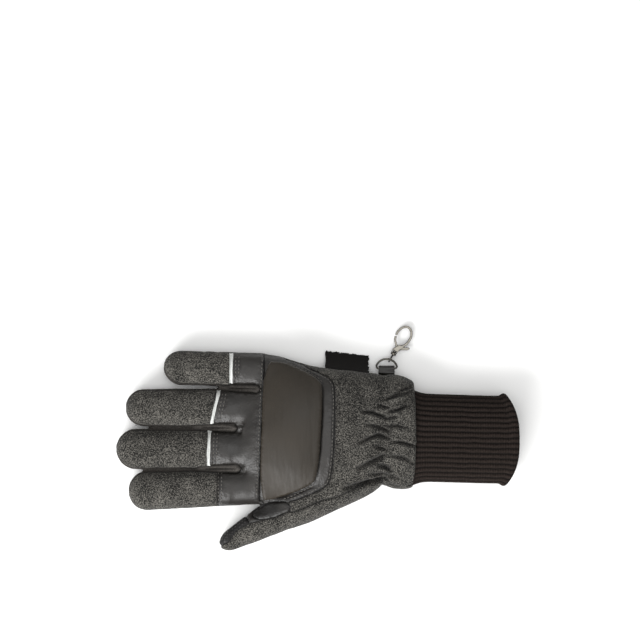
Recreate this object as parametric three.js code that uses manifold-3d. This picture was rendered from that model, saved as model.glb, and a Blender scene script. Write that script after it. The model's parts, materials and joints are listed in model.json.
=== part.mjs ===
// A right-hand firefighter glove with a knit wrist, lying palm down as it would by itself.
// Millimetres. +X runs from the fingers to the cuff, +Y to the little finger, +Z up.
// The origin is on the floor, under the middle of the palm.
import * as THREE from "three";
import { mergeVertices } from "three/addons/utils/BufferGeometryUtils.js";
import Module from "manifold-3d";

const wasm = await Module();
wasm.setup();

// Hand
const handLength = 114; // knuckle line to the end of the wrist hem
const handWidth = 113; // across the knuckles
const handHeight = 34; // highest point of the back above the floor
const knuckleX = -52; // knuckle line
const crotchBow = 17; // how far the middle crotch lies in front of the knuckle line
const wall = 1.8; // shell leather or fabric with its lining
const seamGap = 0.4; // air between two panels that are sewn edge to edge
const layerGap = 0.35; // air under a patch that lies on another layer
const patchThickness = 1.5; // palm patches, strip and ring loop
const pressed = 0.6; // how much the underside is flattened by its own weight
const seamHeight = 10.5; // side seam above the floor
const fourchetteWidth = 8; // strip that joins the front and the back of a finger
const gatherDepth = 2.6; // folds where elastic draws the wrist in
const gatherCount = 19; // folds round the wrist

// Wrist
const cuffLength = 82;
const cuffWidth = 67;
const cuffHeight = 27;
const cuffWall = 2.4;
const cuffBow = 9; // how far the middle of the open end stands out
const cuffOverlap = 5; // stretch of knit inside the hem
const cuffFacets = 44; // sides of the cuff's outline
const mouthDepth = 12; // stretch of the hand that is open for the cuff
const stripWidth = 24; // leather pull strip under the cuff, at the hem
const stripEndWidth = 22; // the same at the cuff's open end
const stripNear = 18.5; // middle of the strip at the hem, from the cuff's axis
const stripFar = 13.5; // the same at the open end
const stripGap = 0.8; // air between the strip and the hem
const stripShort = 2; // how far it stops before the open end

// Thumb
const thumbLength = 130; // from its root in the palm to its tip
const thumbWidth = 26;
const thumbHeight = 24;
const thumbSplay = 27.1; // degrees from the hand's axis
const thumbBow = 1.6;

// Knuckle guard and reflective strips
const guardThickness = 3.4;
const guardBevel = 2.2;
const guardRim = 1.2; // how much lower its rim is
const stripeWidth = 3;
const stripeProud = 0.5;

// Label, ring and snap hook
const labelLength = 33;
const labelReach = 14.5;
const labelThickness = 0.9;
const ringWire = 0.85; // radius
const ringWidth = 16; // centre to centre of the wire
const ringDepth = 8.2;
const ringTilt = 27; // degrees that the ring slopes down to the floor
const ringHeight = 7.2; // of its straight bar above the floor
const ringOut = 4; // from the hand's edge to the bar
const loopWidth = 12.4;
const loopLeather = 1.2;
const loopUnder = 17; // stretch of the loop that is sewn under the palm, from the ring's bar
const loopOver = 5; // stretch beyond the bar that the band is cut from
const runningGap = 0.3; // round the ring's bar and between ring and eye
const pinGap = 0.1; // round the hook's two pins
const eyeRadius = 2.4;
const eyeWire = 0.7;
const hookHeading = 60; // degrees from +X, seen from above
const hookPitch = 3; // degrees that the hook slopes down to the floor
const hookThickness = 3.2;
const hookLong = 8.9; // half length of the hook's oval, outside
const hookWide = 6.4; // half width of the hook's oval, outside
const hookWire = 1.7;
const gateThickness = 1.1;
const pivotRadius = 0.7;
const postRadius = 0.8;
const headRadius = 1.4;
const headPlay = 0.35; // round the post's head in its pocket
const collarRadius = 2.2;
const collarLong = 2.3;
const pocketLong = 1.7;
const pivotBack = 2.2; // from the pocket to the gate's pin
const pivotY = -0.9;
const ovalBack = 10.3; // from the gate's pin to the middle of the oval
const tipAngle = 105; // place on the oval where the free end meets the gate
const gateArc = 48; // degrees of the oval that the gate's arm follows
const slotPlay = 0.2; // on each side of the gate

// Outlines of the hook's shank and of the gate's lever, from the gate's pin
const shankOutline = [
  [-4.7, -1.2], [-1.6, -1.4], [1.2, -2.5], [3.6, -3.7], [4.2, -2.5], [2.6, -0.7], [1.9, 1.5], [0.4, 2.3],
  [-1.2, 3.2], [-2.2, 3.2], [-4.7, 3.0],
];
const leverOutline = [
  [0.6, 2.0], [-1.5, 0.9], [-1.5, -0.9], [0.2, -2.2], [2.6, -6.6], [4.2, -8.2], [5.4, -7.4], [4.6, -5.4],
  [1.9, -0.9], [2.4, 1.4],
];

const hemX = knuckleX + handLength;
const handBottom = patchThickness + layerGap;
const foldHigh = seamHeight + fourchetteWidth / 2;
const foldLow = seamHeight - fourchetteWidth / 2;
const far = 4 * handLength; // beyond every edge
const past = 45; // how far a bore runs past both its ends
const probe = 2; // half width of the column that finds a panel
const crumb = 20; // mm3 that a cut may leave

// Sections of the hand from the knuckle line (0) to the hem (1). low and high are the two edges as
// shares of the hand's width, top is a share of its height, bow of the crotch bow, fold of the gathers.
const handSections = [
  { at: 0.0, low: -0.482, high: 0.52, top: 0.56, bow: 1.0, fold: 0 },
  { at: 0.05, low: -0.477, high: 0.517, top: 0.79, bow: 0.8, fold: 0 },
  { at: 0.13, low: -0.464, high: 0.503, top: 0.93, bow: 0.45, fold: 0 },
  { at: 0.24, low: -0.45, high: 0.467, top: 1.0, bow: 0, fold: 0 },
  { at: 0.4, low: -0.441, high: 0.43, top: 0.99, bow: 0, fold: 0 },
  { at: 0.56, low: -0.428, high: 0.413, top: 0.96, bow: 0, fold: 0 },
  { at: 0.68, low: -0.402, high: 0.398, top: 0.93, bow: 0, fold: 0.15 },
  { at: 0.75, low: -0.385, high: 0.393, top: 0.93, bow: 0, fold: 0.7 },
  { at: 0.807, low: -0.37, high: 0.388, top: 0.91, bow: 0, fold: 1.0 },
  { at: 0.87, low: -0.382, high: 0.386, top: 0.94, bow: 0, fold: 0.65 },
  { at: 0.93, low: -0.39, high: 0.375, top: 0.96, bow: 0, fold: 0.3 },
  { at: 1.0, low: -0.376, high: 0.338, top: 0.92, bow: 0, fold: 0 },
];

// Fingers from the little one to the index. length, width, rootWidth and height are millimetres, root
// and tip the centre line's place as shares of the hand's width. stripe, cap and seam are the distances
// from the knuckle line to the stripe on the back, the grip cap and the cross seam in front.
const fingers = [
  { name: "little", length: 74.4, width: 25.7, rootWidth: 26, height: 20, root: 0.412, tip: 0.432,
    stripe: 23, slant: 0, cap: 44, seam: 34, striped: true },
  { name: "ring", length: 103.2, width: 28, rootWidth: 29.5, height: 22, root: 0.158, tip: 0.161,
    stripe: 35, slant: 3, cap: 71, seam: 44, striped: true },
  { name: "middle", length: 110.5, width: 30.3, rootWidth: 30.2, height: 22.5, root: -0.117, tip: -0.117,
    stripe: 39.7, slant: 0.6, cap: 79.7, seam: 45, striped: true },
  { name: "index", length: 101.1, width: 29.9, rootWidth: 26, height: 22.5, root: -0.37, tip: -0.4,
    stripe: 32.8, slant: 0, cap: 67.6, seam: 42.6, striped: false },
];

// Finger sections from the knuckle line (0) to where the round tip starts (1), as shares of the finger.
const fingerSections = [
  { at: -0.13, wide: 0.84, high: 1.0 },
  { at: 0.0, wide: 1.0, high: 1.12 },
  { at: 0.45, wide: 1.0, high: 1.04 },
];

// Thumb sections from its root (0) to its tip (1).
const thumbSections = [
  { at: 0.0, wide: 1.2, high: 1.05 },
  { at: 0.15, wide: 1.36, high: 1.15 },
  { at: 0.46, wide: 1.3, high: 1.1 },
  { at: 0.58, wide: 1.12, high: 1.04 },
  { at: 0.69, wide: 0.95, high: 0.98 },
  { at: 0.78, wide: 0.84, high: 0.92 },
  { at: 0.9, wide: 0.64, high: 0.8 },
];

// Seam on top of the thumb and the one under it, from the tip to the root: along is a share of the
// thumb's length, across of its half width, towards the index finger.
const thumbTopSeam = [
  { along: 1.1, across: 0 }, { along: 0.95, across: 0 }, { along: 0.9, across: 0.36 },
  { along: 0.85, across: 0.42 }, { along: 0.785, across: 0.375 }, { along: 0.73, across: 0.21 },
  { along: 0.66, across: -0.19 }, { along: 0.555, across: -0.22 }, { along: 0.475, across: -0.31 },
  { along: 0.36, across: -0.36 }, { along: 0.28, across: -0.59 }, { along: 0.03, across: -0.55 },
];
const thumbUnderSeam = [
  { along: 1.1, across: 0 }, { along: 0.95, across: 0 }, { along: 0.9, across: -0.36 },
  { along: 0.75, across: -0.5 }, { along: 0.48, across: -0.5 }, { along: 0.36, across: -0.5 },
];
const gussetRow = 5; // rows of the top seam where the gusset in the crotch starts and ends
const gussetEndRow = 7;
const gussetDrop = 6; // how far the gusset reaches down below the side seam
const baseRow = 4; // row of the seam underneath where the thumb's leather meets the palm's
const thumbCapAt = 0.8; // grip cap of the thumb

// Closed sections of the cuff from inside the hem (0) to its open end (1).
const cuffSections = [
  { at: 0.0, wide: 1.0, high: 1.0 },
  { at: 0.9, wide: 0.995, high: 1.0 },
  { at: 0.96, wide: 1.05, high: 1.06 },
  { at: 1.0, wide: 1.03, high: 1.03 },
];

// Outlines in the plan. along is a share of the hand's length from the knuckle line to the hem, across
// a share of its width from the hand's axis towards the little finger.
const guardOutline = [
  { along: 0.035, across: 0.455 }, { along: 0.19, across: 0.455 }, { along: 0.385, across: 0.315 },
  { along: 0.4, across: 0.27 }, { along: 0.385, across: -0.3 }, { along: 0.36, across: -0.345 },
  { along: 0.2, across: -0.43 }, { along: 0.035, across: -0.43 },
];
const surroundSeam = [
  { along: 0.05, across: 1.2 }, { along: 0.12, across: 0.53 }, { along: 0.17, across: 0.47 },
  { along: 0.46, across: 0.36 }, { along: 0.485, across: 0.32 }, { along: 0.485, across: -0.31 },
  { along: 0.455, across: -0.36 }, { along: 0.325, across: -0.415 }, { along: 0.15, across: -0.462 },
];
const crotch = { along: 0.013, across: -0.483 }; // between thumb and index finger
const crotchAir = { along: -0.05, across: -0.51 }; // just off both of them
const gussetCorner = { along: 0.184, across: -0.495 };
const webUnderBend = { along: 0.19, across: -0.42 };
const wristUnderSeam = [
  { along: 0.59, across: -0.32 }, { along: 0.69, across: -0.12 }, { along: 1.08, across: -0.12 },
];
const palmStripOutline = [
  { along: -0.13, across: -0.12 }, { along: -0.075, across: -0.12 }, { along: 0.045, across: 0.2 },
  { along: 0.15, across: 0.47 }, { along: 0.075, across: 0.49 }, { along: -0.005, across: 0.235 },
];
const palmTongueOutline = [
  { along: 0.02, across: -0.385 }, { along: 0.045, across: -0.26 }, { along: 0.13, across: -0.09 },
  { along: 0.2, across: 0.1 }, { along: 0.24, across: 0.27 }, { along: 0.27, across: 0.325 },
  { along: 0.32, across: 0.34 }, { along: 0.345, across: 0.29 }, { along: 0.315, across: 0.15 },
  { along: 0.285, across: 0.03 }, { along: 0.215, across: -0.22 }, { along: 0.2, across: -0.34 },
  { along: 0.13, across: -0.4 },
];
const thumbHeelOutline = [
  { along: 0.245, across: -0.27 }, { along: 0.275, across: -0.345 }, { along: 0.35, across: -0.37 },
  { along: 0.43, across: -0.355 }, { along: 0.5, across: -0.31 }, { along: 0.59, across: -0.21 },
  { along: 0.67, across: -0.07 }, { along: 0.69, across: 0.02 }, { along: 0.6, across: 0.055 },
  { along: 0.48, across: 0.065 }, { along: 0.37, across: 0.04 }, { along: 0.3, across: 0.0 },
  { along: 0.255, across: -0.13 },
];
const palmHeelOutline = [
  { along: 0.335, across: 0.07 }, { along: 0.47, across: 0.1 }, { along: 0.69, across: 0.065 },
  { along: 0.755, across: 0.2 }, { along: 0.765, across: 0.6 }, { along: 0.4, across: 0.6 },
  { along: 0.405, across: 0.37 }, { along: 0.35, across: 0.17 },
];
const gatherAt = 0.807; // elastic line, where the thumb's fabric ends in a notch
const notchAcross = -0.33;
const labelAt = 0.57; // middle of the label along the hand
const ringAt = 0.834; // middle of the ring along the hand

// Joins and cuts

function solidFrom(geometry) {
  const bare = geometry.clone();
  bare.deleteAttribute("normal");
  bare.deleteAttribute("uv");
  const merged = mergeVertices(bare, 1e-4);
  const closed = (triangles) =>
    new wasm.Manifold(
      new wasm.Mesh({
        numProp: 3,
        vertProperties: merged.attributes.position.array,
        triVerts: new Uint32Array(triangles),
      }),
    );
  const solid = closed(merged.index.array);
  return solid.volume() > 0 ? solid : closed([...merged.index.array].reverse());
}

function geometryFrom(solid) {
  const mesh = solid.getMesh();
  const geometry = new THREE.BufferGeometry();
  geometry.setAttribute("position", new THREE.BufferAttribute(new Float32Array(mesh.vertProperties), 3));
  geometry.setIndex(new THREE.BufferAttribute(new Uint32Array(mesh.triVerts), 1));
  geometry.computeVertexNormals();
  return geometry;
}

const joined = (solids) => solids.reduce((all, next) => all.add(next));

// The largest body of a solid, without crumbs that a cut may leave.
function mainBody(solid) {
  const bodies = solid.decompose();
  return bodies.reduce((best, next) => (next.volume() > best.volume() ? next : best));
}

// A closed skin through rings of equally many points. Each end is filled with a strip between its two
// sides, point k against the point as far round the other way, less shift.
function loft(rings, shift = 0) {
  const count = rings[0].length;
  const last = (rings.length - 1) * count;
  const index = [];
  const add = (a, b, c) => {
    if (a !== b && b !== c && c !== a) index.push(a, b, c);
  };
  for (let start = 0; start < last; start += count) {
    for (let k = 0; k < count; k++) {
      const [a, b] = [start + k, start + ((k + 1) % count)];
      add(a, b, b + count);
      add(a, b + count, a + count);
    }
  }
  for (let k = 0; k < count / 2 - shift; k++) {
    const [a, b, c, d] = [k, k + 1, count - k - 1 - shift, (count - k - shift) % count];
    add(a, c, b);
    add(a, d, c);
    add(last + a, last + b, last + c);
    add(last + a, last + c, last + d);
  }
  const geometry = new THREE.BufferGeometry();
  const positions = rings.flat().flatMap((p) => [p.x, p.y, p.z]);
  geometry.setAttribute("position", new THREE.Float32BufferAttribute(positions, 3));
  geometry.setIndex(index);
  return geometry;
}

// One section: a half superellipse over the seam and a flatter one under it.
function section(count, halfWidth, over, under, upperPower = 2.3, lowerPower = 3.4) {
  return Array.from({ length: count }, (_, k) => {
    const angle = (2 * Math.PI * k) / count;
    const power = 2 / (k * 2 <= count ? upperPower : lowerPower);
    const c = Math.abs(Math.cos(angle)) < 1e-9 ? 0 : Math.cos(angle);
    const s = Math.abs(Math.sin(angle)) < 1e-9 ? 0 : Math.sin(angle);
    const side = Math.sign(c) * Math.abs(c) ** power * halfWidth;
    const up = Math.sign(s) * Math.abs(s) ** power * (s > 0 ? over : under);
    return { side, up, angle };
  });
}

const lerp = THREE.MathUtils.lerp;
const radians = THREE.MathUtils.degToRad;

// A value of a table of sections at any place, taken straight between two rows.
function between(rows, at, column) {
  const next = rows.findIndex((row) => row.at >= at);
  if (next < 0) return rows[rows.length - 1][column];
  if (next === 0) return rows[0][column];
  const [a, b] = [rows[next - 1], rows[next]];
  return lerp(a[column], b[column], (at - a.at) / (b.at - a.at));
}

const handX = (along) => knuckleX + along * handLength;
const handY = (across) => across * handWidth;
const handPoint = ({ along, across }) => [handX(along), handY(across)];
const littleEdge = (x) => handY(between(handSections, (x - knuckleX) / handLength, "high"));

// The hand

const bowMiddle = -0.07;
const bowReach = 0.41;
function frontBow(y) {
  const turn = (y / handWidth - bowMiddle) / bowReach;
  return Math.abs(turn) < 1 ? crotchBow * Math.cos((turn * Math.PI) / 2) : 0;
}

const handRingPoints = 32;
function handSolid(grow) {
  const rings = handSections.map((row, r) => {
    const x = handX(row.at) + (r === 0 ? -grow : r === handSections.length - 1 ? grow : 0);
    const middle = (handY(row.low) + handY(row.high)) / 2;
    const half = (handY(row.high) - handY(row.low)) / 2 + grow;
    const over = handHeight * row.top - seamHeight + grow;
    const under = seamHeight - handBottom + grow;
    return section(handRingPoints, half, over, under).map(({ side, up, angle }) => {
      const onTop = Math.max(0, Math.sin(angle)) ** 0.5;
      const fold = row.fold * gatherDepth * onTop * (Math.cos(gatherCount * angle) - 1) * 0.5;
      const share = 1 + fold / Math.hypot(side, up);
      const y = middle + side * share;
      return new THREE.Vector3(x - row.bow * frontBow(y), y, seamHeight + up * share);
    });
  });
  return solidFrom(loft(rings));
}

// The fingers

const fingerRingPoints = 12;
const tipSteps = 3;
const fingerTipX = (finger) => knuckleX - finger.length;
const centreAt = (finger, x) =>
  handY(lerp(finger.root, finger.tip, (knuckleX - x) / finger.length));

function fingerSolid(finger, grow) {
  const ringAtX = (x, halfWidth, over, under) =>
    section(fingerRingPoints, halfWidth, over, under).map(
      ({ side, up }) => new THREE.Vector3(x, centreAt(finger, x) + side, seamHeight + up),
    );
  const round = finger.width / 2;
  const straight = finger.length - round;
  const rings = fingerSections.map(({ at, wide, high }) => {
    const half = (lerp(finger.rootWidth, finger.width, Math.max(0, at)) / 2) * wide + grow;
    const over = finger.height * high - seamHeight + grow;
    return ringAtX(knuckleX - at * straight, half, over, seamHeight + pressed + grow);
  });
  for (let k = 0; k <= tipSteps; k++) {
    const turn = (k / (tipSteps + 0.35)) * (Math.PI / 2);
    const x = knuckleX - straight - Math.sin(turn) * (round + grow);
    const share = Math.cos(turn);
    const over = finger.height - seamHeight + grow;
    rings.push(
      ringAtX(x, (finger.width / 2 + grow) * share, over * share ** 0.8,
        (seamHeight + pressed + grow) * share ** 0.6),
    );
  }
  return solidFrom(loft(rings.reverse()));
}

// The thumb

const thumbRoot = new THREE.Vector2(handX(0.754), handY(-0.239));
const thumbWay = new THREE.Vector2(-Math.cos(radians(thumbSplay)), -Math.sin(radians(thumbSplay)));
const thumbSide = new THREE.Vector2(thumbWay.y, -thumbWay.x); // towards the index finger
const thumbMiddle = (along) => {
  const bow = thumbBow * Math.sin(Math.PI * Math.min(1, Math.max(0, along)));
  return thumbRoot.clone().addScaledVector(thumbWay, along * thumbLength).addScaledVector(thumbSide, bow);
};
const thumbPoint = ({ along, across }) => {
  const p = thumbMiddle(along).addScaledVector(thumbSide, (across * thumbWidth) / 2);
  return [p.x, p.y];
};

function thumbSolid(grow) {
  const ringAlong = (along, halfWidth, over, under) => {
    const middle = thumbMiddle(along);
    return section(fingerRingPoints, halfWidth, over, under, 2.1, 2.8).map(({ side, up }) => {
      const p = middle.clone().addScaledVector(thumbSide, side);
      return new THREE.Vector3(p.x, p.y, seamHeight + up);
    });
  };
  const lastRow = thumbSections[thumbSections.length - 1];
  const round = (1 - lastRow.at) * thumbLength;
  const rings = thumbSections.map(({ at, wide, high }) =>
    ringAlong(at, (thumbWidth * wide) / 2 + grow, thumbHeight * high - seamHeight + grow,
      seamHeight + pressed + grow),
  );
  for (let k = 1; k <= tipSteps; k++) {
    const turn = (k / (tipSteps + 0.35)) * (Math.PI / 2);
    const along = lastRow.at + (Math.sin(turn) * (round + grow)) / thumbLength;
    const share = Math.cos(turn);
    rings.push(
      ringAlong(along, ((thumbWidth * lastRow.wide) / 2 + grow) * share,
        (thumbHeight * lastRow.high - seamHeight + grow) * share ** 0.8,
        (seamHeight + pressed + grow) * share ** 0.6),
    );
  }
  return solidFrom(loft(rings));
}

// Hand, fingers and thumb as one body, grown outwards by so many millimetres.
const gloveBody = (grow) =>
  joined([handSolid(grow), ...fingers.map((f) => fingerSolid(f, grow)), thumbSolid(grow)]);

// A prism over an outline of [x, y] points.
function prism(points, low, high) {
  const shape = new THREE.Shape(points.map(([x, y]) => new THREE.Vector2(x, y)));
  const geometry = new THREE.ExtrudeGeometry(shape, { depth: high - low, bevelEnabled: false });
  return solidFrom(geometry.translate(0, 0, low));
}

// A thin upright wall along a line of points: what it takes away is the gap of a seam.
function seamWall(line, low, high, width = seamGap) {
  const points = line.map(([x, y]) => new THREE.Vector2(x, y));
  const ways = points.slice(1).map((p, k) => p.clone().sub(points[k]).normalize());
  const sides = points.map((p, k) => {
    const before = ways[Math.max(0, k - 1)];
    const after = ways[Math.min(ways.length - 1, k)];
    const middle = before.clone().add(after).normalize();
    const off = new THREE.Vector2(-middle.y, middle.x).multiplyScalar(width / 2 / middle.dot(before));
    return { left: [p.x + off.x, p.y + off.y], right: [p.x - off.x, p.y - off.y] };
  });
  return prism([...sides.map((s) => s.left), ...sides.map((s) => s.right).reverse()], low, high);
}

const floorBox = prism([[-far, -far], [far, -far], [far, far], [-far, far]], -far, 0);
const onFloor = (solid) => solid.subtract(floorBox);

// The cuff

const cuffStart = hemX - cuffOverlap;
const cuffEnd = hemX + cuffLength;
const cuffMiddle = (handY(handSections.at(-1).low) + handY(handSections.at(-1).high)) / 2 - 2;
const cuffSeam = handBottom + cuffHeight / 2;

// The cuff's skin, grown by so many millimetres, with count points round it; ends lengthens both ends.
function cuffSolid(grow, count, ends = 0) {
  const rings = cuffSections.map((row, r) => {
    const last = r === cuffSections.length - 1;
    const x = lerp(cuffStart, cuffEnd - cuffBow * 0.25, row.at) + (r === 0 ? -ends : last ? ends : 0);
    const half = (cuffWidth * row.wide) / 2 + grow;
    const high = (cuffHeight * row.high) / 2 + grow;
    const bow = cuffBow * Math.max(0, row.at - 0.5) * 2;
    const under = Math.min(high, cuffHeight / 2 + grow);
    return section(count, half, high, under, 2.2, 2.6).map(({ side, up }) => {
      const back = bow * ((side / half) ** 2 - 0.35);
      return new THREE.Vector3(x - back, cuffMiddle + side, cuffSeam + up);
    });
  });
  return solidFrom(loft(rings));
}

// Shell

const outer = gloveBody(0);
const cuffPassage = cuffSolid(layerGap, cuffFacets, past);
const mouth = hemX - mouthDepth;
const shell = onFloor(outer.subtract(gloveBody(-wall))).subtract(
  cuffPassage.intersect(prism([[mouth, -far], [far, -far], [far, far], [mouth, far]], -1, far)),
);

// Seams. Each is a thin wall that is taken out of the shell, and what is left falls apart into panels.

const beyondTips = -far;

// The line halfway between two neighbours, followed along X.
function lineBetween(upper, lower) {
  const at = (x, upperWidth, lowerWidth) =>
    (centreAt(upper, x) - upperWidth / 2 + centreAt(lower, x) + lowerWidth / 2) / 2;
  const root = at(knuckleX, upper.rootWidth, lower.rootWidth);
  const slope = (root - at(fingerTipX(lower), upper.width, lower.width)) / (knuckleX - fingerTipX(lower));
  return (x) => root + slope * (x - knuckleX);
}
const crotchPoint = handPoint(crotch);
const webSlope = 0.075;
const creaseReach = 9; // stretch of the crease behind the crotch that the side seam runs into
const creaseEnd = crotchPoint[0] + creaseReach;
const corridorLines = [
  () => handY(1.2),
  ...fingers.slice(1).map((finger, k) => lineBetween(fingers[k], finger)),
  (x) => handPoint(crotchAir)[1] + (x - knuckleX) * webSlope,
];
const rootReach = handX(0.1);
const corridors = fingers.map((_, k) =>
  prism([
    [beyondTips, corridorLines[k](beyondTips)], [knuckleX, corridorLines[k](knuckleX)],
    [knuckleX, corridorLines[k + 1](knuckleX)], [beyondTips, corridorLines[k + 1](beyondTips)],
  ], -1, far),
);

// A seam across a finger at some distance from the knuckle line.
function crossLine(finger, distance, slant = 0) {
  const x = knuckleX - distance;
  const reach = finger.width;
  return [[x + slant, centreAt(finger, x) + reach], [x - slant, centreAt(finger, x) - reach]];
}
const stripeSide = (finger, side) =>
  crossLine(finger, finger.stripe + (side * (stripeWidth + seamGap)) / 2, finger.slant);

const halfGap = seamGap / 2;
const overSeam = (points) => seamWall(points, seamHeight - halfGap, far);
const underSeam = (points) => seamWall(points, -1, seamHeight + halfGap);
const levelSeam = (points, z = seamHeight) => prism(points, z - halfGap, z + halfGap);
const notchX = handX(gatherAt);
const topPoints = thumbTopSeam.map(thumbPoint);
const underPoints = thumbUnderSeam.map(thumbPoint);
const wristPoints = wristUnderSeam.map(handPoint);
const notchPoint = [notchX, handY(notchAcross)];
const wristSeamY = handY(wristUnderSeam.at(-1).across);

const fingerSeams = fingers.flatMap((finger, k) => {
  const over = finger.striped
    ? [stripeSide(finger, -1), stripeSide(finger, 1)]
    : [crossLine(finger, finger.stripe)];
  const under = [crossLine(finger, finger.cap), crossLine(finger, finger.seam)];
  return [
    ...over.map((line) => seamWall(line, seamHeight, far).intersect(corridors[k])),
    ...under.map((line) => seamWall(line, -1, seamHeight).intersect(corridors[k])),
  ];
});
const fourchetteArea = (k) => [
  [beyondTips, centreAt(fingers[k], beyondTips)], [knuckleX, centreAt(fingers[k], knuckleX)],
  [rootReach, centreAt(fingers[k], knuckleX)], [rootReach, centreAt(fingers[k + 1], knuckleX)],
  [knuckleX, centreAt(fingers[k + 1], knuckleX)], [beyondTips, centreAt(fingers[k + 1], beyondTips)],
];
const fourchetteBand = joined(fingers.slice(1).map((_, k) => prism(fourchetteArea(k), foldLow, foldHigh)));

const levelSeams = joined([
  ...fingers.slice(1).flatMap((_, k) => [foldLow, foldHigh].map((z) => levelSeam(fourchetteArea(k), z))),
  ...fingers.map((f) => {
    const end = fingerTipX(f) + f.width / 2;
    return seamWall([[beyondTips, centreAt(f, beyondTips)], [end, centreAt(f, end)]],
      foldLow - halfGap, foldHigh + halfGap);
  }),
  levelSeam([
    [beyondTips, centreAt(fingers[0], beyondTips)], [rootReach, centreAt(fingers[0], rootReach)],
    [rootReach, 0], [hemX + creaseReach, 0], [hemX + creaseReach, far], [beyondTips, far],
  ]),
  levelSeam([
    [beyondTips, corridorLines[4](beyondTips)], handPoint(crotchAir), crotchPoint,
    topPoints[gussetRow], [creaseEnd, topPoints[gussetRow][1]],
    [creaseEnd, centreAt(fingers[3], creaseEnd)], [beyondTips, centreAt(fingers[3], beyondTips)],
  ]),
]);
const seams = joined([
  levelSeams,
  ...fingerSeams.map((wall) => wall.subtract(fourchetteBand)),
  overSeam([[knuckleX, far], [knuckleX, handY(-0.44)], crotchPoint]),
  overSeam([...surroundSeam, gussetCorner].map(handPoint)),
  overSeam([crotchPoint, handPoint(surroundSeam.at(-1))]),
  overSeam([handPoint(gussetCorner), topPoints[gussetEndRow]]),
  seamWall([crotchPoint, topPoints[gussetRow]], seamHeight - gussetDrop, far),
  overSeam([...topPoints, notchPoint, [notchX, -far]]),
  seamWall([handPoint(crotchAir), crotchPoint], -1, far),
  underSeam([...underPoints, ...wristPoints]),
  underSeam([[notchX, -far], [notchX, wristSeamY]]),
  underSeam([crotchPoint, handPoint(webUnderBend), underPoints[baseRow]]),
]);

const capLine = [thumbPoint({ along: thumbCapAt, across: -2 }), thumbPoint({ along: thumbCapAt, across: 2 })];
const cutShell = shell.subtract(seams).decompose().filter((piece) => piece.volume() > crumb);

// The panel that has most of a column through it.
function panelAt([x, y], low, high) {
  const column = prism([
    [x - probe, y - probe], [x + probe, y - probe], [x + probe, y + probe], [x - probe, y + probe],
  ], low, high);
  const shares = cutShell.map((piece) => piece.intersect(column).volume());
  return cutShell[shares.indexOf(Math.max(...shares))];
}
const panelOver = (point) => panelAt(point, foldHigh + 1, far);
const panelUnder = (point) => panelAt(point, -1, foldLow - 1);
const onFinger = (finger, distance) => [knuckleX - distance, centreAt(finger, knuckleX - distance)];

const nodes = new Map();
for (const finger of fingers) {
  nodes.set("finger_back_" + finger.name, panelOver(onFinger(finger, finger.stripe + finger.width / 3)));
  nodes.set("fingertip_grip_" + finger.name, panelUnder(onFinger(finger, finger.cap + finger.width / 3)));
  nodes.set("finger_front_" + finger.name, panelUnder(onFinger(finger, (finger.cap + finger.seam) / 2)));
}
fingers.slice(1).forEach((finger, k) => {
  const x = knuckleX - Math.min(fingers[k].length, finger.length) / 2;
  const y = centreAt(finger, x) + finger.width / 2 - 1;
  nodes.set("fourchette_" + fingers[k].name + "_" + finger.name, panelAt([x, y], foldLow, foldHigh));
});
nodes.set("knuckle_leather", panelOver([knuckleX - creaseReach, centreAt(fingers[2], knuckleX)]));
nodes.set("guard_surround", panelOver([handX(0.2), 0]));
nodes.set("back_fabric", panelOver([handX(0.65), 0]));
nodes.set("palm_leather", panelUnder([handX(0.5), 0]));
nodes.set("thumb_gusset", panelAt(handPoint({ along: 0.12, across: -0.52 }), seamHeight + 3, far));
nodes.set("thumb_back", panelOver(thumbPoint({ along: 0.7, across: -0.5 })));
const thumbLeather = panelUnder(thumbPoint({ along: 0.6, across: 0.2 }));
const capArea = prism([
  ...capLine, [capLine[1][0] - far, capLine[1][1]], [capLine[0][0] - far, capLine[0][1]],
], -1, far);
const capSeam = seamWall(capLine, -1, far);
nodes.set("thumb_front", mainBody(thumbLeather.subtract(capArea).subtract(capSeam)));
nodes.set("thumbtip_grip", mainBody(thumbLeather.intersect(capArea).subtract(capSeam)));

// Reflective stripes, a little prouder than the fabric on either side
fingers.forEach((finger, k) => {
  if (!finger.striped) return;
  const [from, to] = [1, -1].map(
    (side) => crossLine(finger, finger.stripe + (side * stripeWidth) / 2, finger.slant),
  );
  const band = prism([...from, ...to.reverse()], seamHeight, far).intersect(corridors[k]);
  const tape = gloveBody(stripeProud).subtract(gloveBody(-wall)).intersect(band);
  nodes.set("reflective_stripe_" + finger.name, mainBody(tape.subtract(levelSeams).subtract(fourchetteBand)));
});

// Patches on the palm, and the padded guard over the knuckles

function layer(from, to) {
  return onFloor(gloveBody(to).subtract(gloveBody(from)));
}
const underPatches = layer(layerGap, layerGap + patchThickness + pressed);
const underEdge = handBottom + 4; // the patches stop here on the rounded side of the palm
const patch = (outline) => mainBody(underPatches.intersect(prism(outline.map(handPoint), -1, underEdge)));
nodes.set("palm_strip", patch(palmStripOutline));
nodes.set("palm_tongue", patch(palmTongueOutline));
nodes.set("thumb_heel_patch", patch(thumbHeelOutline));
nodes.set("palm_heel_patch", patch(palmHeelOutline));

const inset = (points, distance) => {
  const middle = points.reduce(([x, y], p) => [x + p[0] / points.length, y + p[1] / points.length], [0, 0]);
  return points.map(([x, y]) => {
    const away = Math.hypot(x - middle[0], y - middle[1]);
    return [x + ((middle[0] - x) * distance) / away, y + ((middle[1] - y) * distance) / away];
  });
};
const guardPoints = guardOutline.map(handPoint);
const overEdge = seamHeight + 3;
const guardLayer = (thickness, points) =>
  handSolid(thickness).subtract(gloveBody(layerGap)).intersect(prism(points, overEdge, far));
nodes.set("knuckle_guard", mainBody(
  guardLayer(guardThickness - guardRim, guardPoints)
    .add(guardLayer(guardThickness, inset(guardPoints, guardBevel))),
));

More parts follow.
